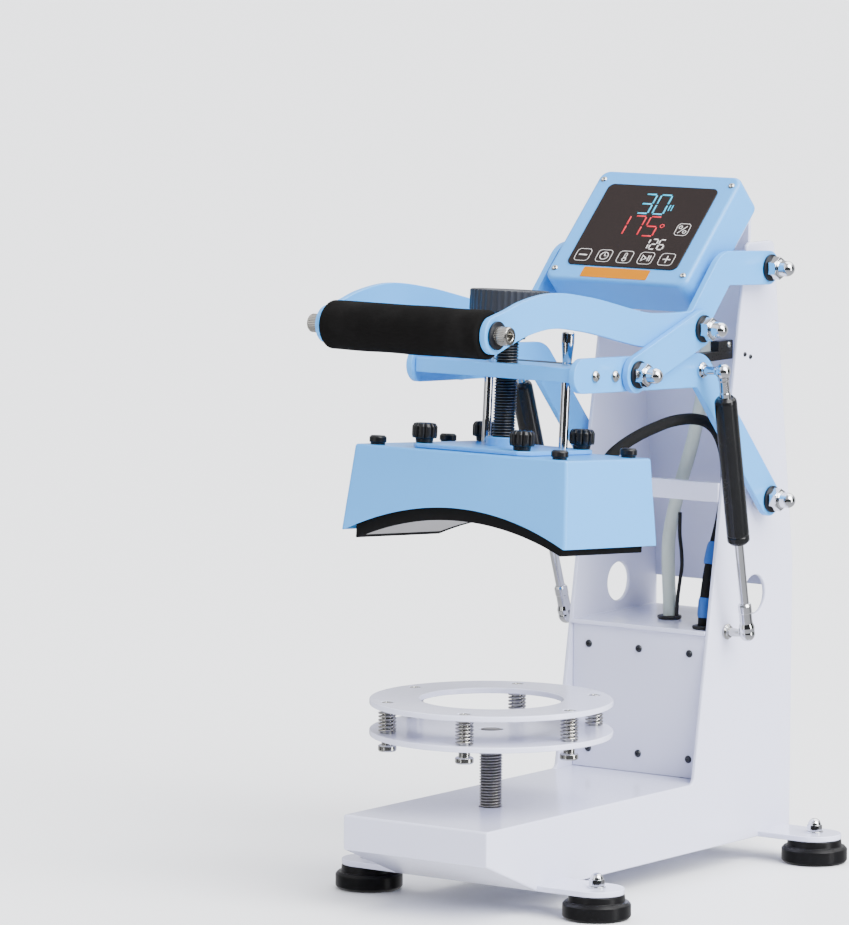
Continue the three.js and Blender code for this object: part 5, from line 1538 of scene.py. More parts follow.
def make_linkage():
    edge = sizes().plate_edge
    shaft = arm_point(*LINK_SHAFT)
    link = stadium(shaft, LINK_PIVOT, LINK_HALF_WIDTH, 32)
    heel, elbow = (0.0, 0.0), (-GAS_TOP_REACH, GAS_TOP_RISE, 17)
    arm = bent_bar(rounded([heel, elbow, (-ARM_TOE[0], ARM_TOE[1])], 16, closed=False), ARM_HALF_WIDTH, 20)
    place = outwards(shaft)
    for name, side in SIDES:
        shell = side_plate(link, LINK_INNER, LINK_OUTER, edge=edge, side=side)
        matched(f"link_plate_{name}", shell, "blue_coat", "links", f"toggle_link_{name}")
        nut = acorn_nut().at(z=LINK_OUTER).into(place)
        matched(f"link_pin_nut_{name}", nut.mirrored(side), "chrome", "links", f"toggle_link_{name}")
        ring = washer().at(z=LINK_OUTER).into(place)
        made(f"link_pin_washer_{name}", ring.mirrored(side), "washer_black", "links", f"toggle_link_{name}")
        shell = side_plate(arm, ARM_INNER, ARM_OUTER, edge=edge, space=ARM, side=side)
        matched(f"lower_arm_{name}", shell, "blue_coat", "arms", f"platen_arm_{name}")

    carrier = rectangle(
        2 * (ARM_INNER - GAP), CARRIER_DEPTH, 1.0, (0, -CARRIER_FRONT + CARRIER_DEPTH / 2),
    )
    holes = [circle(SCREW_RADIUS + 0.3, 40, (0, -HEAD_REACH))]
    holes += [
        circle(GUIDE_HEAD_RADIUS + 0.6, 32, (side * GUIDE_SPAN / 2, -HEAD_REACH + GUIDE_SETBACK))
        for side in (-1, 1)
    ]
    shell = level_plate(carrier, CARRIER_RISE, CARRIER_RISE + CARRIER_THICKNESS, holes, 0.9, ARM)
    matched("carrier", shell, "blue_coat", "arms", "carrier_plate")
    y, z = LINK_SHAFT
    rod = turned_soft([
        (0, -ARM_OUTER, 0), (PIVOT_RADIUS, -ARM_OUTER, 0.5), (PIVOT_RADIUS, ARM_OUTER, 0.5),
        (0, ARM_OUTER, 0),
    ])
    made("link_cross_shaft", rod.into(ARM.within(0, -y, z, OUTWARDS)), "black_oxide", "arms", "link_shaft",
         "black_steel")
    screws = []
    for reach in CARRIER_SCREWS:
        screw = socket_screw(5.2, 3.4, 3.4, dome=1.7).at(z=ARM_OUTER)
        screws.append(both_sides(screw.into(ARM.within(0, -reach, 110.8, OUTWARDS))))
    made("carrier_screws", joined(screws), "zinc_plate", "arms", sharp=45)


class BALLPRESS_OT_linkage(PressOperator, bpy.types.Operator):
    """Makes the toggle links, the lower arms, the carrier plate and their screws"""

    bl_idname = "ball_press.linkage"
    bl_label = "Links and lower arms"

    def execute(self, context):
        make_linkage()
        return {"FINISHED"}


def walk_round(along_x=64, along_y=24, turn=6):
    """A walk round a rounded rectangle, as two numbers for its straight sides and two for its
    corner arcs: a point is (k * (half size - radius)) + (radius * c)."""
    k, c = [], []
    corners = [(-1, -1), (1, -1), (1, 1), (-1, 1)]
    for i, (x, y) in enumerate(corners):
        nx, ny = corners[(i + 1) % 4]
        count = along_x if i % 2 == 0 else along_y
        share = np.linspace(0, 1, count + 1)[:, None]
        k.append((1 - share) * (x, y) + share * (nx, ny))
        out = np.array([(0, -1), (1, 0), (0, 1), (-1, 0)][i], float)
        c.append(np.broadcast_to(out, (count + 1, 2)))
        a = np.linspace(0, math.pi / 2, turn + 1)[1:-1, None]
        after = np.array([(1, 0), (0, 1), (-1, 0), (0, -1)][i], float)
        k.append(np.broadcast_to(np.array([nx, ny], float), (turn - 1, 2)))
        c.append(np.cos(a) * out + np.sin(a) * after)
    return np.vstack(k), np.vstack(c)


def arch_height(x, half_span, peak, end):
    """Height of an arch at x: peak - R + sqrt(R^2 - x^2), with R from its span and rise."""
    rise = peak - end
    radius = (half_span**2 + rise**2) / (2 * rise)
    inside = np.sqrt(np.maximum(radius**2 - x**2, 0))
    return np.where(np.abs(x) < half_span, peak - radius + inside, end)


def folded_cover():
    """The folded cover: a tapered rounded rectangle at each level, from its arched lower edge up
    to its folded top, with the same walk back down inside it."""
    k, c = walk_round()
    corner, fold = sizes().cover_corner, sizes().cover_edge
    bottom, top = np.array(COVER_BOTTOM) / 2, np.array(COVER_TOP) / 2

    def ring(inward, z):
        half = bottom + (top - bottom) * (z[:, None] / COVER_HEIGHT) - inward
        radius = max(corner - inward, 0.4)
        return np.column_stack([k * (half - radius) + radius * c, z])

    x = ring(0, np.zeros(len(k)))[:, 0]
    lower = np.maximum(arch_height(x * 0.985, ARCH_HALF_SPAN, ARCH_RISE, 0.0), 0.0)
    share = np.linspace(0, 1, 20)
    wall_top = COVER_HEIGHT - fold
    inside = COVER_HEIGHT - COVER_SHEET - 0.5
    rings = [ring(COVER_SHEET, lower + 0.5 + s * (inside - lower)) for s in share[::-1]]
    rings += [ring(1.6, lower + 0.1), ring(1.2, lower), ring(0.7, lower), ring(0.3, lower + 0.1)]
    rings += [ring(0.0, lower + 0.5 + s * (wall_top - lower - 0.5)) for s in share]
    for a in np.linspace(0, math.pi / 2, 7)[1:]:
        rings.append(ring(fold * (1 - math.cos(a)), np.full(len(k), wall_top + fold * math.sin(a))))
    return skin(rings)


def insulation_board():
    """The insulation block: rounded rectangles from a pocket for the platen, over its arched
    lower edge and up its sides."""
    k, c = walk_round(turn=3)
    half = np.array([BLOCK_WIDTH, BLOCK_DEPTH]) / 2
    top = COVER_HEIGHT - COVER_SHEET - GAP
    pocket = half - PLATEN_MARGIN

    def ring(inward, z, size=half):
        return np.column_stack([k * (size - inward - 0.8) + 0.8 * c, z])

    level = np.full(len(k), top)
    outline = ring(0, level)
    arch = arch_height(outline[:, 0], BLOCK_WIDTH / 2, BLOCK_ARCH_PEAK, BLOCK_ARCH_END)
    share = np.linspace(0, 1, 8)
    rings = []
    inner = ring(0, level, pocket)
    arch_in = arch_height(inner[:, 0], BLOCK_WIDTH / 2, BLOCK_ARCH_PEAK, BLOCK_ARCH_END)
    for s in (PLATEN_THICKNESS + 1, PLATEN_THICKNESS / 2, 0.3):
        rings.append(ring(0, arch_in + s, pocket))
    rings.append(ring(0.0, arch_in, pocket + 0.4))
    rings.append(ring(0.4, arch, half))
    rings += [ring(0, arch + 0.5 + s * (top - 0.5 - arch - 0.5)) for s in share]
    rings.append(ring(0.5, level))
    return skin(rings)


def bent_platen():
    """The heated platen: its section of (y, depth) is carried round the arch by an angle about
    the arch's middle, with depth square to the arch."""
    pocket = (BLOCK_WIDTH - 2 * PLATEN_MARGIN - 2 * GAP, BLOCK_DEPTH - 2 * PLATEN_MARGIN - 2 * GAP)
    rise = BLOCK_ARCH_PEAK - BLOCK_ARCH_END
    radius = ((BLOCK_WIDTH / 2) ** 2 + rise**2) / (2 * rise)
    sweep = math.asin(pocket[0] / 2 / radius)
    edge = 0.8
    k = np.linspace(-1, 1, 49)
    rings = []
    y_half = pocket[1] / 2
    section = np.array([
        (-y_half + edge, GAP), (y_half - edge, GAP), (y_half, GAP + edge), (y_half, PLATEN_THICKNESS),
        (-y_half, PLATEN_THICKNESS), (-y_half, GAP + edge),
    ])
    for share in k:
        a = share * sweep
        reach = radius + section[:, 1]
        rings.append(np.column_stack([
            reach * math.sin(a), section[:, 0], BLOCK_ARCH_PEAK - radius + reach * math.cos(a),
        ]))
    return skin(rings[::-1])


def make_clamp():
    """The clamp plate with its cut corners, and the boss that the screw bears on."""
    w, d, thickness = CLAMP
    w, d, cut = w / 2, d / 2, CLAMP_CORNER
    outline = rounded([
        (-w + cut, -d, 3), (w - cut, -d, 3), (w, -d + cut, 3), (w, d - cut, 3), (w - cut, d, 3),
        (-w + cut, d, 3), (-w, d - cut, 3), (-w, -d + cut, 3),
    ], 5)
    boss = turned_soft([
        (SCREW_RADIUS + GAP, CLAMP_FOOT + 1, 0), (THRUST_RADIUS, CLAMP_FOOT + 1, 0),
        (THRUST_RADIUS, CLAMP_TOP + THRUST_HEIGHT, 1.2),
        (SCREW_RADIUS + GAP, CLAMP_TOP + THRUST_HEIGHT, 0.6),
    ], wrap=True)
    shell = plate(outline, CLAMP_FOOT, CLAMP_TOP, edge=1.0)
    matched("clamp_and_boss", (shell + boss).into(HEAD), "blue_coat", "head", "clamp_plate")


def make_head_fixings():
    """The thumb knobs, the caps on the cover and the guide rods."""
    for side_name, side in SIDES:
        for row_name, row in (("front", -1), ("rear", 1)):
            x, y = side * THUMB_SPANS[0] / 2, row * THUMB_SPANS[1] / 2
            name = f"thumb_knob_{row_name}_{side_name}"
            knob = thumb_knob().at(x, y).into(HEAD)
            matched(f"lobed_{name}", knob, "black_plastic", "head", name, sharp=45)
    caps = [vent_cap().at(x * VENT_CAPS[0], y * VENT_CAPS[1]) for x in (-1, 1) for y in (-1, 1)]
    made("vent_caps", joined(caps).into(HEAD), "black_plastic", "head")
    neck, top = GUIDE_TOP - 26.0, GUIDE_TOP
    rod = turned_soft([
        (0, CLAMP_FOOT + GAP, 0), (GUIDE_RADIUS, CLAMP_FOOT + GAP, 0), (GUIDE_RADIUS, neck, 6),
        (GUIDE_HEAD_RADIUS, top - 9, 3), (GUIDE_HEAD_RADIUS, top - 1.2, 0),
        (GUIDE_HEAD_RADIUS - 1.0, top, 0.5), (0, top, 0),
    ], 64, 8)
    for name, side in SIDES:
        shell = rod.at(side * GUIDE_SPAN / 2, GUIDE_SETBACK).into(HEAD)
        matched(f"guide_{name}", shell, "chrome", "head", f"guide_rod_{name}")


def thumb_knob():
    """A thumb knob: round lobes, radius - 1.7 * (1 - |cos(n a / 2)|)^2.2, over a plain neck."""
    lobes = sizes().thumb_lobes
    foot = CLAMP_TOP + GAP
    neck, top, r = foot + 4.0, foot + THUMB_HEIGHT, THUMB_RADIUS
    profile = rounded([
        (0, COVER_HEIGHT - 2.0), (3.0, COVER_HEIGHT - 2.0), (3.0, foot), (7.4, foot, 0.4),
        (7.8, neck - 0.4, 0.4), (r - 0.5, neck, 0.8), (r, neck + 2.5, 1.0), (r, top - 3.2, 1.5),
        (r - 1.6, top - 0.6, 1.0), (r - 3.0, top, 0.8), (r - 5.0, top - 0.7, 0.8), (0, top - 0.7),
    ], 5, closed=False)

    def swell(radius, angle, height):
        groove = (1 - np.abs(np.cos(lobes * angle / 2))) ** 2.2
        share = np.clip((radius - r + 3.4) / 2.6, 0, 1)
        return radius - 1.7 * groove * share * (height > neck - 0.3)

    return turned(profile, 20 * lobes, swell=swell)


def vent_cap():
    """A small moulded cap on the cover's top."""
    return turned_soft([
        (0, COVER_HEIGHT - 1, 0), (6.3, COVER_HEIGHT - 1, 0), (6.3, COVER_HEIGHT + 1.6, 0.3),
        (7.5, COVER_HEIGHT + 2.4, 0.5), (7.5, COVER_HEIGHT + 6.4, 1.2), (5.9, COVER_HEIGHT + 8.0, 0.8),
        (0, COVER_HEIGHT + 8.0, 0),
    ], 48, 5)


def make_head():
    matched("cover_shell", folded_cover().into(HEAD), "blue_coat", "head", "platen_cover", sharp=50)
    made("insulation", insulation_board().into(HEAD), "insulation_black", "head", "insulation_block",
         "black_plastic")
    matched("platen", bent_platen().into(HEAD), "platen_aluminium", "head", "heating_platen")
    make_clamp()
    make_head_fixings()


class BALLPRESS_OT_head(PressOperator, bpy.types.Operator):
    """Makes the heater head: cover, insulation, platen, clamp plate, knobs, caps and guide rods"""

    bl_idname = "ball_press.head"
    bl_label = "Heater head"

    def execute(self, context):
        make_head()
        return {"FINISHED"}


def hand_knob():
    """The hand knob: its rim is scalloped, radius - 0.9 |sin(n a / 2)|, its hub has six shallow
    flutes, and eight spokes stand between the hub and the rim."""
    ribs = sizes().knob_ribs
    rim_foot, top = KNOB_FOOT + 24.0, KNOB_FOOT + 42.0
    web = top - 6.0
    bore, hub = SCREW_RADIUS + GAP, KNOB_HUB_RADIUS
    r = KNOB_RADIUS
    inner = r - 4.0
    profile = rounded([
        (0, SCREW_TOP + GAP), (bore, SCREW_TOP + GAP), (bore, KNOB_FOOT), (hub, KNOB_FOOT, 0.8),
        (hub, web, 1.5), (inner, web, 1.5), (inner, rim_foot, 0.5), (r, rim_foot, 0.8), (r, top - 1, 0),
        (r - 1.2, top, 1.0), (r - 5.0, top, 0.6), (r - 6.0, top - 0.8, 0.6), (0, top - 0.8),
    ], 4, closed=False)

    def swell(radius, angle, height):
        scallop = 0.9 * np.abs(np.sin(ribs * angle / 2))
        fade = np.clip((height - rim_foot) / 1.2, 0, 1) * np.clip((top - height) / 0.8, 0, 1)
        flute = 1.1 * np.clip(np.cos(6 * angle), 0, 1) * np.clip((height - KNOB_FOOT - 2) / 2, 0, 1)
        fluted = (radius > hub - 1) & (radius < hub + 0.3) & (height < web - 1)
        return radius - scallop * fade * (radius > r - 1.3) - flute * fluted

    body = turned(profile, 10 * ribs, swell=swell)
    spoke = rectangle(inner - 10.0, 2.2, 0.5, ((inner + 10.0) / 2 + 0.4, 0))
    spokes = []
    for a in TURN * np.arange(8) / 8:
        c, s = math.cos(a), math.sin(a)
        turned_outline = spoke @ np.array([[c, s], [-s, c]])
        spokes.append(plate(turned_outline, rim_foot + 1.5, web + 0.5, edge=0.4))
    return joined([body, *spokes])


def make_pressure():
    rod = threaded(SCREW_RADIUS, CLAMP_TOP + GAP, SCREW_TOP, SCREW_PITCH, sizes().thread_depth, 40)
    made("pressure_thread", rod.into(HEAD), "black_thread", "screw", "pressure_screw", "black_steel",
         sharp=80)
    matched("hand_knob", hand_knob().into(HEAD), "slate_plastic", "screw", "pressure_knob",
         sharp=40)


class BALLPRESS_OT_pressure(PressOperator, bpy.types.Operator):
    """Makes the threaded pressure screw and its fluted hand knob"""

    bl_idname = "ball_press.pressure"
    bl_label = "Pressure screw and knob"

    def execute(self, context):
        make_pressure()
        return {"FINISHED"}


def ball_end(centre):
    """A ball: its radius and height are the cosine and the sine of the latitude."""
    a = np.linspace(-math.pi / 2, math.pi / 2, 33)
    profile = BALL_RADIUS * np.column_stack([np.cos(a), np.sin(a)])
    profile[[0, -1], 0] = 0
    return turned(profile, 64).into(Space(OUTWARDS, centre))


def ball_stud(seat, centre):
    """A ball stud from its seat to its ball: a flange with a hexagon, and a waisted neck."""
    x, y, z = centre
    shank = turned_soft([
        (0, seat, 0), (7.0, seat, 0.4), (7.0, seat + 1.6, 0.5), (4.0, seat + 4.0, 1.0), (3.4, x - 7.5, 1.5),
        (4.2, x - 5.0, 0), (0, x - 5.0, 0),
    ], 48, 5)
    return (shank + hex_nut(10.0, seat + 1.2, seat + 4.2)).into(outwards((y, z)))


def make_gas_springs():
    top = np.array([GAS_TOP_OFFSET, *arm_point(GAS_TOP_REACH, GAS_TOP_RISE)])
    foot = np.array(GAS_FOOT)
    down, up = Space(along(foot - top), top), Space(along(top - foot), foot)
    start, end = CYLINDER_START, CYLINDER_START + CYLINDER_LENGTH
    r = CYLINDER_RADIUS
    tube = turned_soft([
        (0, start, 0), (r - 2.6, start, 0.6), (r - 0.6, start + 2.2, 1.4), (r, start + 4.5, 2),
        (r, end - 9.0, 1), (r - 0.5, end - 8.0, 0.5), (r, end - 7.0, 1), (r, end - 2.6, 1.6),
        (r - 2.4, end, 1.0), (5.0, end, 0.4), (5.0, end - 1.2, 0), (0, end - 1.2, 0),
    ], 64, 5)
    neck = turned_soft([
        (0, 4, 0), (5.2, 4, 0), (5.2, 7.5, 0.5), (4.5, 8.6, 0.5), (4.5, start - 5, 0.4),
        (5.0, start - 4, 0.4), (5.0, start + 1, 0), (0, start + 1, 0),
    ], 48)
    socket = turned_soft([
        (0, 2.5, 0), (6.9, 2.5, 0.8), (7.1, 6.5, 1.5), (5.8, 10.5, 1.6), (5.6, 20.0, 0.6), (6.0, 20.8, 0.4),
        (6.0, ROD_NECK - 2, 0.8), (4.8, ROD_NECK, 0.6), (0, ROD_NECK, 0),
    ], 48, 5)
    rod = turned([
        (0, ROD_NECK - 2), (ROD_RADIUS, ROD_NECK - 2), (ROD_RADIUS, ROD_LENGTH), (0, ROD_LENGTH),
    ], 48)
    for name, side in SIDES:
        node = f"gas_cylinder_{name}"
        matched(f"gas_tube_{name}", tube.into(down).mirrored(side), "gas_black", "gas_cylinders", node)
        fitting = neck.into(down) + ball_end(top) + ball_stud(ARM_OUTER + GAP, top)
        matched(f"gas_tube_end_{name}", fitting.mirrored(side), "chrome", "gas_cylinders", node)
        node = f"gas_rod_{name}"
        matched(f"gas_piston_rod_{name}", rod.into(up).mirrored(side), "chrome", "gas_rods", node)
        fitting = socket.into(up) + ball_end(foot)
        matched(f"gas_rod_socket_{name}", fitting.mirrored(side), "chrome", "gas_rods", node)
        stud = ball_stud(HALF_FRAME + GAP, foot).mirrored(side)
        made(f"gas_rod_stud_{name}", stud, "zinc_plate", "gas_rods", node)


class BALLPRESS_OT_gas_springs(PressOperator, bpy.types.Operator):
    """Makes the two gas springs with their ball studs"""

    bl_idname = "ball_press.gas_springs"
    bl_label = "Gas springs"

    def execute(self, context):
        make_gas_springs()
        return {"FINISHED"}


def coil_spring(low, high):
    """A compression spring: a helix whose climb is slow over the first and last turn, where its
    ends lie flat, and even between them."""
    share = np.linspace(0, 1, SPRING_TURNS * 28 + 1)
    turns = share * SPRING_TURNS
    climb = np.clip((turns - 0.35) / (SPRING_TURNS - 0.7), 0, 1)
    coil = SPRING_RADIUS - SPRING_WIRE / 2
    angle = TURN * turns
    path = np.column_stack([coil * np.cos(angle), coil * np.sin(angle), low + (high - low) * climb])
    wire = np.full(len(path), SPRING_WIRE / 2)
    wire[[0, -1]] *= 0.8
    return swept(path, wire, 10, np.column_stack([np.cos(angle), np.sin(angle), 0 * angle]))


def captive_bolt():
    """A bolt that hangs from the ring, with its rounded head under the lower plate."""
    foot, top = LOWER_PLATE - 11.0, UPPER_PLATE + SUPPORT_THICKNESS
    shank = turned_soft([
        (0, foot + 4, 0), (5.0, foot + 4, 0), (5.0, top - 0.6, 0.2), (4.4, top, 0.2), (2.6, top, 0.2),
        (2.2, top - 1.8, 0), (0, top - 1.8, 0),
    ], 32)
    head = turned_soft([
        (0, foot + 0.4, 0), (2.8, foot + 0.4, 0.2), (3.3, foot, 0.3), (7.2, foot, 0.8),
        (8.0, foot + 1.2, 0.6), (8.0, foot + 4.8, 0.6), (7.2, foot + 5.5, 0.4), (0, foot + 5.5, 0),
    ], 40)
    return shank + head


def make_support():
    top = LOWER_PLATE + SUPPORT_THICKNESS
    rod = threaded(SCREW_RADIUS, SUPPORT_SCREW_FOOT, top, SCREW_PITCH, sizes().thread_depth, 40)
    made("support_thread", rod.into(SUPPORT), "zinc_thread", "support_lift", "support_screw", "dark_zinc",
         sharp=80)
    angles = FIRST_BOLT + TURN * np.arange(SPRING_COUNT) / SPRING_COUNT
    places = [(BOLT_CIRCLE * math.cos(a), BOLT_CIRCLE * math.sin(a)) for a in angles]
    holes = [circle(5.6, 24, place) for place in places]
    disc = circle(SUPPORT_RADIUS, 192)
    shell = plate(disc, LOWER_PLATE, top, [circle(SCREW_RADIUS + GAP, 40), *holes], 0.9)
    matched("lower_disc", shell.into(SUPPORT), "white_coat", "support_turn", "lower_support_plate")
    holes = [circle(SEAT_RADIUS, 160), *holes]
    shell = plate(disc, UPPER_PLATE, UPPER_PLATE + SUPPORT_THICKNESS, holes, 1.1, 4)
    matched("seat_ring", shell.into(SUPPORT), "white_coat", "sprung_ring", "upper_support_plate")

    low, high = top + GAP + SPRING_WIRE / 2, UPPER_PLATE - GAP - SPRING_WIRE / 2
    for i, (x, y) in enumerate(places):
        spring = coil_spring(low, high).at(x, y).into(SUPPORT)
        start, end = (tuple((SUPPORT.put((x, y, z)) - ORIGIN) * MM) for z in (top, UPPER_PLATE))
        matched(f"spring_{i + 1}", spring, "spring_steel", None, f"support_spring_{i + 1}",
             sharp=60, blended=("support_turn", "sprung_ring", start, end))
        bolt = captive_bolt().at(x, y).into(SUPPORT)
        made(f"captive_bolt_{i + 1}", bolt, "zinc_plate", "sprung_ring", f"spring_bolt_{i + 1}", "chrome")


class BALLPRESS_OT_support(PressOperator, bpy.types.Operator):
    """Makes the round ball support: plates, springs, bolts and the threaded screw"""

    bl_idname = "ball_press.support"
    bl_label = "Ball support"

    def execute(self, context):
        make_support()
        return {"FINISHED"}


SEGMENTS = ("abcdef", "bc", "abdeg", "abcdg", "bcfg", "acdfg", "acdefg", "abc", "abcdefg", "abcdfg")
STROKES = {
    "a": ((0, 1), (1, 1)), "b": ((1, 1), (1, 0.5)), "c": ((1, 0.5), (1, 0)), "d": ((0, 0), (1, 0)),
    "e": ((0, 0.5), (0, 0)), "f": ((0, 1), (0, 0.5)), "g": ((0, 0.5), (1, 0.5)),
}


def on_panel(u, v):
    """A place on the panel from its left and lower edges, as shares of its size."""
    return (u - 0.5) * PANEL[0], BOX_LENGTH / 2 + (v - 0.5) * PANEL[1]


def number(value, right, foot, height, stroke=1.6, mark=None):
    """A number in straight segments, set from its right-hand end."""
    tall = height * PANEL[1]
    wide = tall * 0.5
    x, y = on_panel(right, foot)
    shells = []
    for i, figure in enumerate(reversed(str(value))):
        left = x - wide - i * wide * 1.42
        for key in SEGMENTS[int(figure)]:
            ends = np.array(STROKES[key], float) * (wide, tall) + (left, y)
            lean = (ends[1] - ends[0]) / np.linalg.norm(ends[1] - ends[0])
            ends += np.array([lean, -lean]) * stroke * 0.55
            shells.append(ribbon(ends, stroke))
    if mark == "ticks":
        for shift in (3.5, 6.3):
            ends = np.array([(x + shift, y + tall * 0.5), (x + shift, y + tall * 0.2)])
            shells.append(ribbon(ends, 1.0))
    if mark == "degree":
        shells.append(ribbon(circle(1.9, 24, (x + 5.0, y + tall * 0.55)), 0.9, closed=True))
    return joined(shells).into(BOX)


def key_symbols():
    """The outlines and plain symbols of the six keys, each a line with its width."""
    row = [np.array(on_panel(u, 0.118)) for u in (0.112, 0.305, 0.495, 0.685, 0.872)]
    minus, clock, warmth, start, plus = row
    swap = np.array(on_panel(0.87, 0.485))
    loops = [(rectangle(14.8, 13.8, 3.4, place, 6), 0.55) for place in row] + [
        (rectangle(13.4, 13.8, 3.4, swap, 6), 0.55), (circle(4.1, 32, clock), 0.8),
        (circle(1.9, 24, warmth - (0, 2.8)), 0.8),
        (stadium(warmth - (0, 0.4), warmth + (0, 3.4), 1.15, 8), 0.6),
        (start + [(-4.2, -3.2), (0.2, 0.0), (-4.2, 3.2)], 0.8),
        (circle(1.6, 20, swap + (-3.0, 2.6)), 0.7), (circle(1.6, 20, swap + (3.0, -2.6)), 0.7),
    ]
    lines = [
        (minus + [(-4.2, 0), (4.2, 0)], 1.3),
        (plus + [(-4.0, 0), (4.0, 0)], 1.1), (plus + [(0, -4.0), (0, 4.0)], 1.1),
        (clock + [(0, 0), (0, 2.8)], 0.7), (clock + [(0, 0), (2.2, 0)], 0.7),
        (start + [(2.2, -3.2), (2.2, 3.2)], 0.9), (start + [(4.2, -3.2), (4.2, 3.2)], 0.9),
        (swap + [(-3.6, -4.2), (3.6, 4.2)], 0.8),
    ]
    shells = [ribbon(*loop, closed=True) for loop in loops] + [ribbon(*line) for line in lines]
    return joined(shells).into(BOX)


def make_control_box():
    middle = BOX_LENGTH / 2
    face = rectangle(FRAME_WIDTH, BOX_LENGTH, BOX_CORNER + 1, (0, middle), 12)
    shell = plate(face, -BOX_THICKNESS, 0, edge=sizes().box_edge, steps=8)
    matched("box_shell", shell.into(BOX), "blue_coat", "frame", "control_box", sharp=60)
    panel = rectangle(*PANEL, 6.0, (0, middle), 8)
    shell = plate(panel, -0.5, 1.0, edge=0.4)
    matched("panel_film", shell.into(BOX), "panel_black", "frame", "control_panel")
    strip = rectangle(70.0, 11.6, 1.2, (-2.4, 9.6), 4)
    made("amber_strip", plate(strip, -0.2, 0.35, edge=0.1).into(BOX), "amber_film", "frame")

    inset_x, inset_y = BOX_SCREW_INSET
    head = socket_screw(3.1, 1.5, 2.2, dome=0.8)
    screws = [
        head.at(x * (FRAME_WIDTH / 2 - inset_x), y, -0.1).into(BOX)
        for x in (-1, 1) for y in (inset_y, BOX_LENGTH - inset_y)
    ]
    made("box_screws", joined(screws), "zinc_plate", "frame", sharp=45)

    shown = sizes()
    for name, shell, finish_name in (
        ("seconds_digits", number(shown.shown_seconds, 0.62, 0.655, 0.235, mark="ticks"), "seconds_lit"),
        ("heat_digits", number(shown.shown_heat, 0.63, 0.385, 0.235, mark="degree"), "heat_lit"),
        # The count row and the key print carry the white print's painted glow.
        ("count_digits", number(shown.shown_count, 0.78, 0.23, 0.12, stroke=1.3), "white_print_painted_glow"),
        ("key_print", key_symbols(), "white_print_painted_glow"),
    ):
        made(name, shell, finish_name, "frame", flat=True)


class BALLPRESS_OT_control_box(PressOperator, bpy.types.Operator):
    """Makes the tilted control box, its screws, the panel film and what is lit or printed on it"""

    bl_idname = "ball_press.control_box"
    bl_label = "Control box"

    def execute(self, context):
        make_control_box()
        return {"FINISHED"}


def make_inlet():
    """The mains inlet with its pins and screws, and the bezel of the switch."""
    x, z = -INLET_OFFSET, INLET_HEIGHT
    back = FRAME_DEPTH + GAP
    mouth = rounded([
        (x - 11.5, z - 8.5, 1), (x + 11.5, z - 8.5, 1), (x + 11.5, z + 3.5, 1), (x + 6.5, z + 8.5, 1),
        (x - 6.5, z + 8.5, 1), (x - 11.5, z + 3.5, 1),
    ], 4)
    flange = front_plate(rectangle(48, 32, 5, (x, z)), back, back + THIN_SHEET, [mouth], 0.7)
    body = front_plate(rectangle(28, 22, 1, (x, z)), back - 20, back + 0.6, [mouth], 0.2)
    floor = front_plate(rectangle(27, 21, 1, (x, z)), back - 20, back - 17.5, edge=0.2)
    matched("inlet_socket", joined([flange, body, floor]), "black_plastic", "frame", "mains_inlet")
    pins = [
        front_plate(rectangle(2, 4, 0.6, (x + dx, z + dz), 3), back - 18, back - 3.5, edge=0.6)
        for dx, dz in ((-7, -2), (0, 2), (7, -2))
    ]
    made("inlet_pins", joined(pins), "zinc_plate", "frame", "mains_inlet")
    place = MACHINE.within(rotation=BACK_ON)
    screws = [
        socket_screw(2.8, 1.7, 1.8, dome=0.8).at(-(x + dx), z, back + THIN_SHEET).into(place)
        for dx in (-19.5, 19.5)
    ]
    made("inlet_screws", joined(screws), "chrome", "frame", sharp=45)
    bezel = front_plate(
        rectangle(19, 32, 1.5, (INLET_OFFSET, z)), FRAME_DEPTH + 0.1, FRAME_DEPTH + 1.9,
        [rectangle(14.0, 27.0, 0.8, (INLET_OFFSET, z))], 0.6,
    )
    made("rocker_bezel", bezel, "black_plastic", "frame")


def make_rocker():
    """The tilted key of the power switch, hollow along its face, and the two marks on it."""
    width, length, depth = ROCKER_SIZE
    space = Space(about_x(-ROCKER_TILT), (INLET_OFFSET, ROCKER_PIVOT, INLET_HEIGHT))
    rear = FRAME_DEPTH + 3.0 - ROCKER_PIVOT
    s = np.linspace(-1, 1, 21)
    face = np.column_stack([rear - 2.0 * (1 - s**2), s * length / 2])
    outline = np.vstack([[(rear - depth, length / 3), (rear - depth, -length / 3)], face])
    shell = plate(outline, -width / 2, width / 2, edge=0.5).into(space.within(rotation=SIDE_ON))
    matched("rocker_key", shell, "black_plastic", "rocker", "power_switch")
    marks = [
        ribbon([(0, -9.0), (0, -5.0)], 0.9, 0), ribbon(circle(2.0, 24, (0, 7.0)), 0.8, 0, closed=True),
    ]
    shells = []
    for mark, height in zip(marks, (-7.0, 7.0)):
        share = height / (length / 2)
        lean = math.atan2(4.0 * share, length / 2)
        level = rear - 2.0 * (1 - share**2)
        turn = BACK_ON @ about_x(lean)
        spot = space.within(0, level + 0.05, height, turn)
        shells.append(mark.at(0, -height, 0).into(spot))
    # The printed marks carry the white print's painted glow.
    made("rocker_marks", joined(shells), "white_print_painted_glow", "rocker", flat=True)


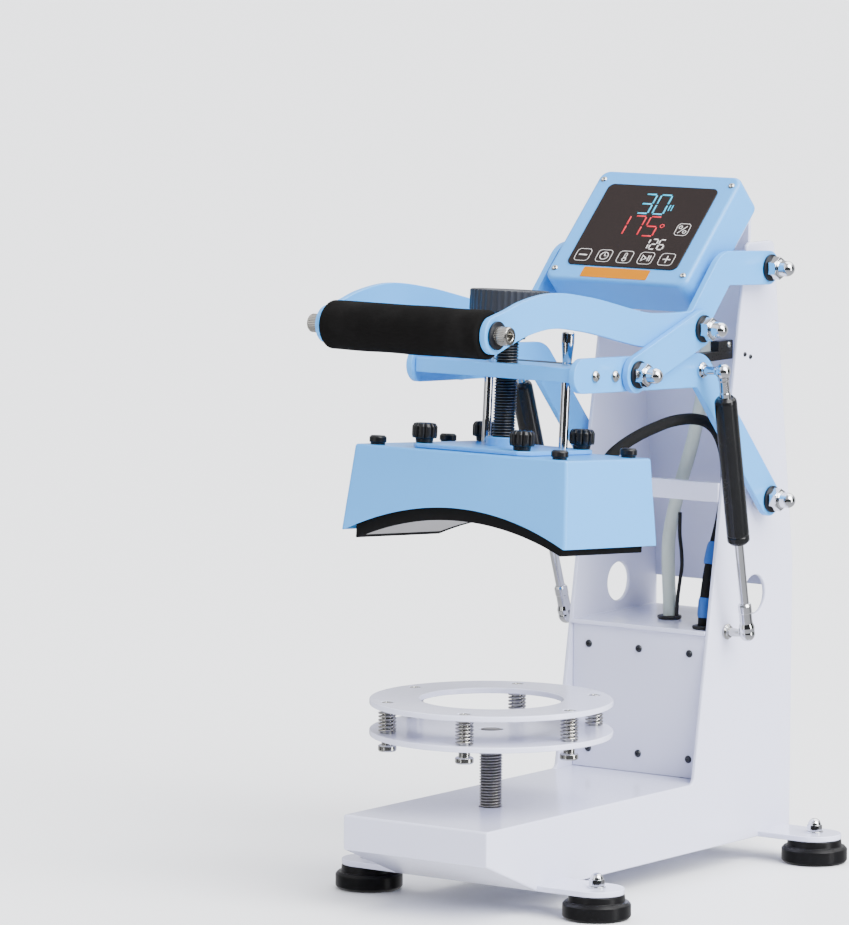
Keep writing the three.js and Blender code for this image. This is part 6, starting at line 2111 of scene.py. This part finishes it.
def make_board():
    """The power board on its posts, with its relay and transformer."""
    width, depth, thickness = BOARD
    rear = FRAME_DEPTH - THIN_SHEET
    front = (SHELF_FRONT + rear - depth) / 2
    y = front + depth / 2
    foot = DECK_HEIGHT + GAP
    level = foot + 8.0
    top = level + thickness
    board = level_plate(rectangle(width, depth, 1.5, (0, y)), level, top, edge=0.2)
    matched("board_plate", board, "board_green", "frame", "power_board")
    post = turned([(0, foot), (4.0, foot), (4.0, level), (0, level)], 6)
    post += socket_screw(2.8, 1.8, 1.8, dome=0.8).at(z=top)
    posts = [
        post.at(a * (width / 2 - 8), y + b * (depth / 2 - 8)) for a in (-1, 1) for b in (-1, 1)
    ]
    made("board_posts", joined(posts), "zinc_plate", "frame", "power_board")
    relay = level_plate(rectangle(44, 58, 2, (-width / 4, y)), top, top + 23.0, edge=0.8)
    ends = []
    for a, b in ((-1, -1), (-1, 1), (1, -1), (1, 1)):
        outline = rectangle(10, 8, 0.8, (-width / 4 + a * 14, y + b * 22))
        ends.append(level_plate(outline, top + 23.0, top + 23.6, edge=0.2))
    made("relay", relay, "wire_black", "frame", "power_board")
    made("relay_terminals", joined(ends), "zinc_plate", "frame", "power_board")
    core = level_plate(rectangle(34, 14, 0.8, (width / 4, y)), top, top + 33.0, edge=0.5)
    made("transformer_core", core, "black_oxide", "frame", "power_board")
    winding = level_plate(rectangle(24, 33, 4, (width / 4, y)), top + 5, top + 27.0, edge=1.5)
    made("transformer_winding", winding, "relay_blue", "frame", "power_board")


def make_electrics():
    width = FRAME_WIDTH - 2 * SHEET - 2 * GAP
    height = SHELF_HEIGHT - SHEET - DECK_HEIGHT - 2 * GAP
    middle = DECK_HEIGHT + GAP + height / 2
    cover = rectangle(width, height, 1.0, (0, middle))
    rear = SHELF_FRONT + 2 * THIN_SHEET
    shell = front_plate(cover, rear - THIN_SHEET, rear, edge=0.6)
    matched("bay_cover", shell, "white_coat", "frame", "electronics_cover")
    row, rise = width / 2 - 17.0, height / 2 - 17.0
    face, screw = MACHINE.within(rotation=FACE_ON), socket_screw(3.4, 1.9, 2.0, dome=0.9)
    screws = [
        screw.at(x, middle + z, THIN_SHEET - rear).into(face)
        for x in (-row, 0, row) for z in (-rise, rise)
    ]
    made("bay_cover_screws", joined(screws), "black_oxide", "frame", sharp=45)

    inlet, switch = (-INLET_OFFSET, INLET_HEIGHT), (INLET_OFFSET, INLET_HEIGHT)
    holes = [rectangle(28.6, 22.6, 1, inlet), rectangle(14.2, 27.2, 1, switch)]
    shell = front_plate(cover, FRAME_DEPTH - THIN_SHEET, FRAME_DEPTH, holes, 0.6)
    matched("rear_panel", shell, "white_coat", "frame", "rear_cover")
    make_inlet()
    make_rocker()
    make_board()
    tongue = rounded([
        (320, 458), (328, 454), (379, 454, 1), (379, 471, 1), (356, 471, 1), (356, 462), (328, 462),
    ], 3)
    side = INNER_FACE - GAP
    shell = side_plate(tongue, side - 9.0, side, edge=0.6)
    matched("limit_switch_body", shell, "black_plastic", "frame", "limit_switch")
    pair = ((391.5, 457.2), (400.5, 454.4))
    for name, x, head, finish_name, places in (
        ("side_plate_screws", HALF_FRAME, (2.2, 1.3, 1.5, 0.7), "black_oxide", pair),
        ("limit_switch_screw", side, (2.8, 1.4, 2.0, 0.6), "zinc_plate", ((372.3, 467.0),)),
    ):
        screws = [socket_screw(*head).at(z=x).into(outwards(place)) for place in places]
        made(name, joined(screws), finish_name, "frame", sharp=45)


class BALLPRESS_OT_electrics(PressOperator, bpy.types.Operator):
    """Makes the covers of the electrical bay, the inlet, the switches and the power board"""

    bl_idname = "ball_press.electrics"
    bl_label = "Electrics"

    def execute(self, context):
        make_electrics()
        return {"FINISHED"}


# Panel, registration and running order

STEPS = (
    "finishes", "stage", "cables", "frame", "feet", "pivots", "handle", "linkage", "head", "pressure",
    "gas_springs", "support", "control_box", "electrics",
)


class BALLPRESS_PT_panel(bpy.types.Panel):
    """Lists the sizes, the colours and the operators of the press"""

    bl_idname = "BALLPRESS_PT_panel"
    bl_label = "Ball heat press"
    bl_space_type = "VIEW_3D"
    bl_region_type = "UI"
    bl_category = "Heat press"

    def draw(self, context):
        for group in (context.scene.ball_press_sizes, context.scene.ball_press_colours):
            column = self.layout.column()
            for key in group.__annotations__:
                column.prop(group, key)
        for step in STEPS:
            self.layout.operator(f"ball_press.{step}")


CLASSES = (BallPressSizes, BallPressColours, *PressOperator.__subclasses__(), BALLPRESS_PT_panel)


def register():
    for kind in CLASSES:
        bpy.utils.register_class(kind)
    bpy.types.Scene.ball_press_sizes = PointerProperty(type=BallPressSizes)
    bpy.types.Scene.ball_press_colours = PointerProperty(type=BallPressColours)


def unregister():
    del bpy.types.Scene.ball_press_colours
    del bpy.types.Scene.ball_press_sizes
    for kind in reversed(CLASSES):
        bpy.utils.unregister_class(kind)


def main():
    register()
    for step in STEPS:
        getattr(bpy.ops.ball_press, step)()


if __name__ == "__main__":
    main()
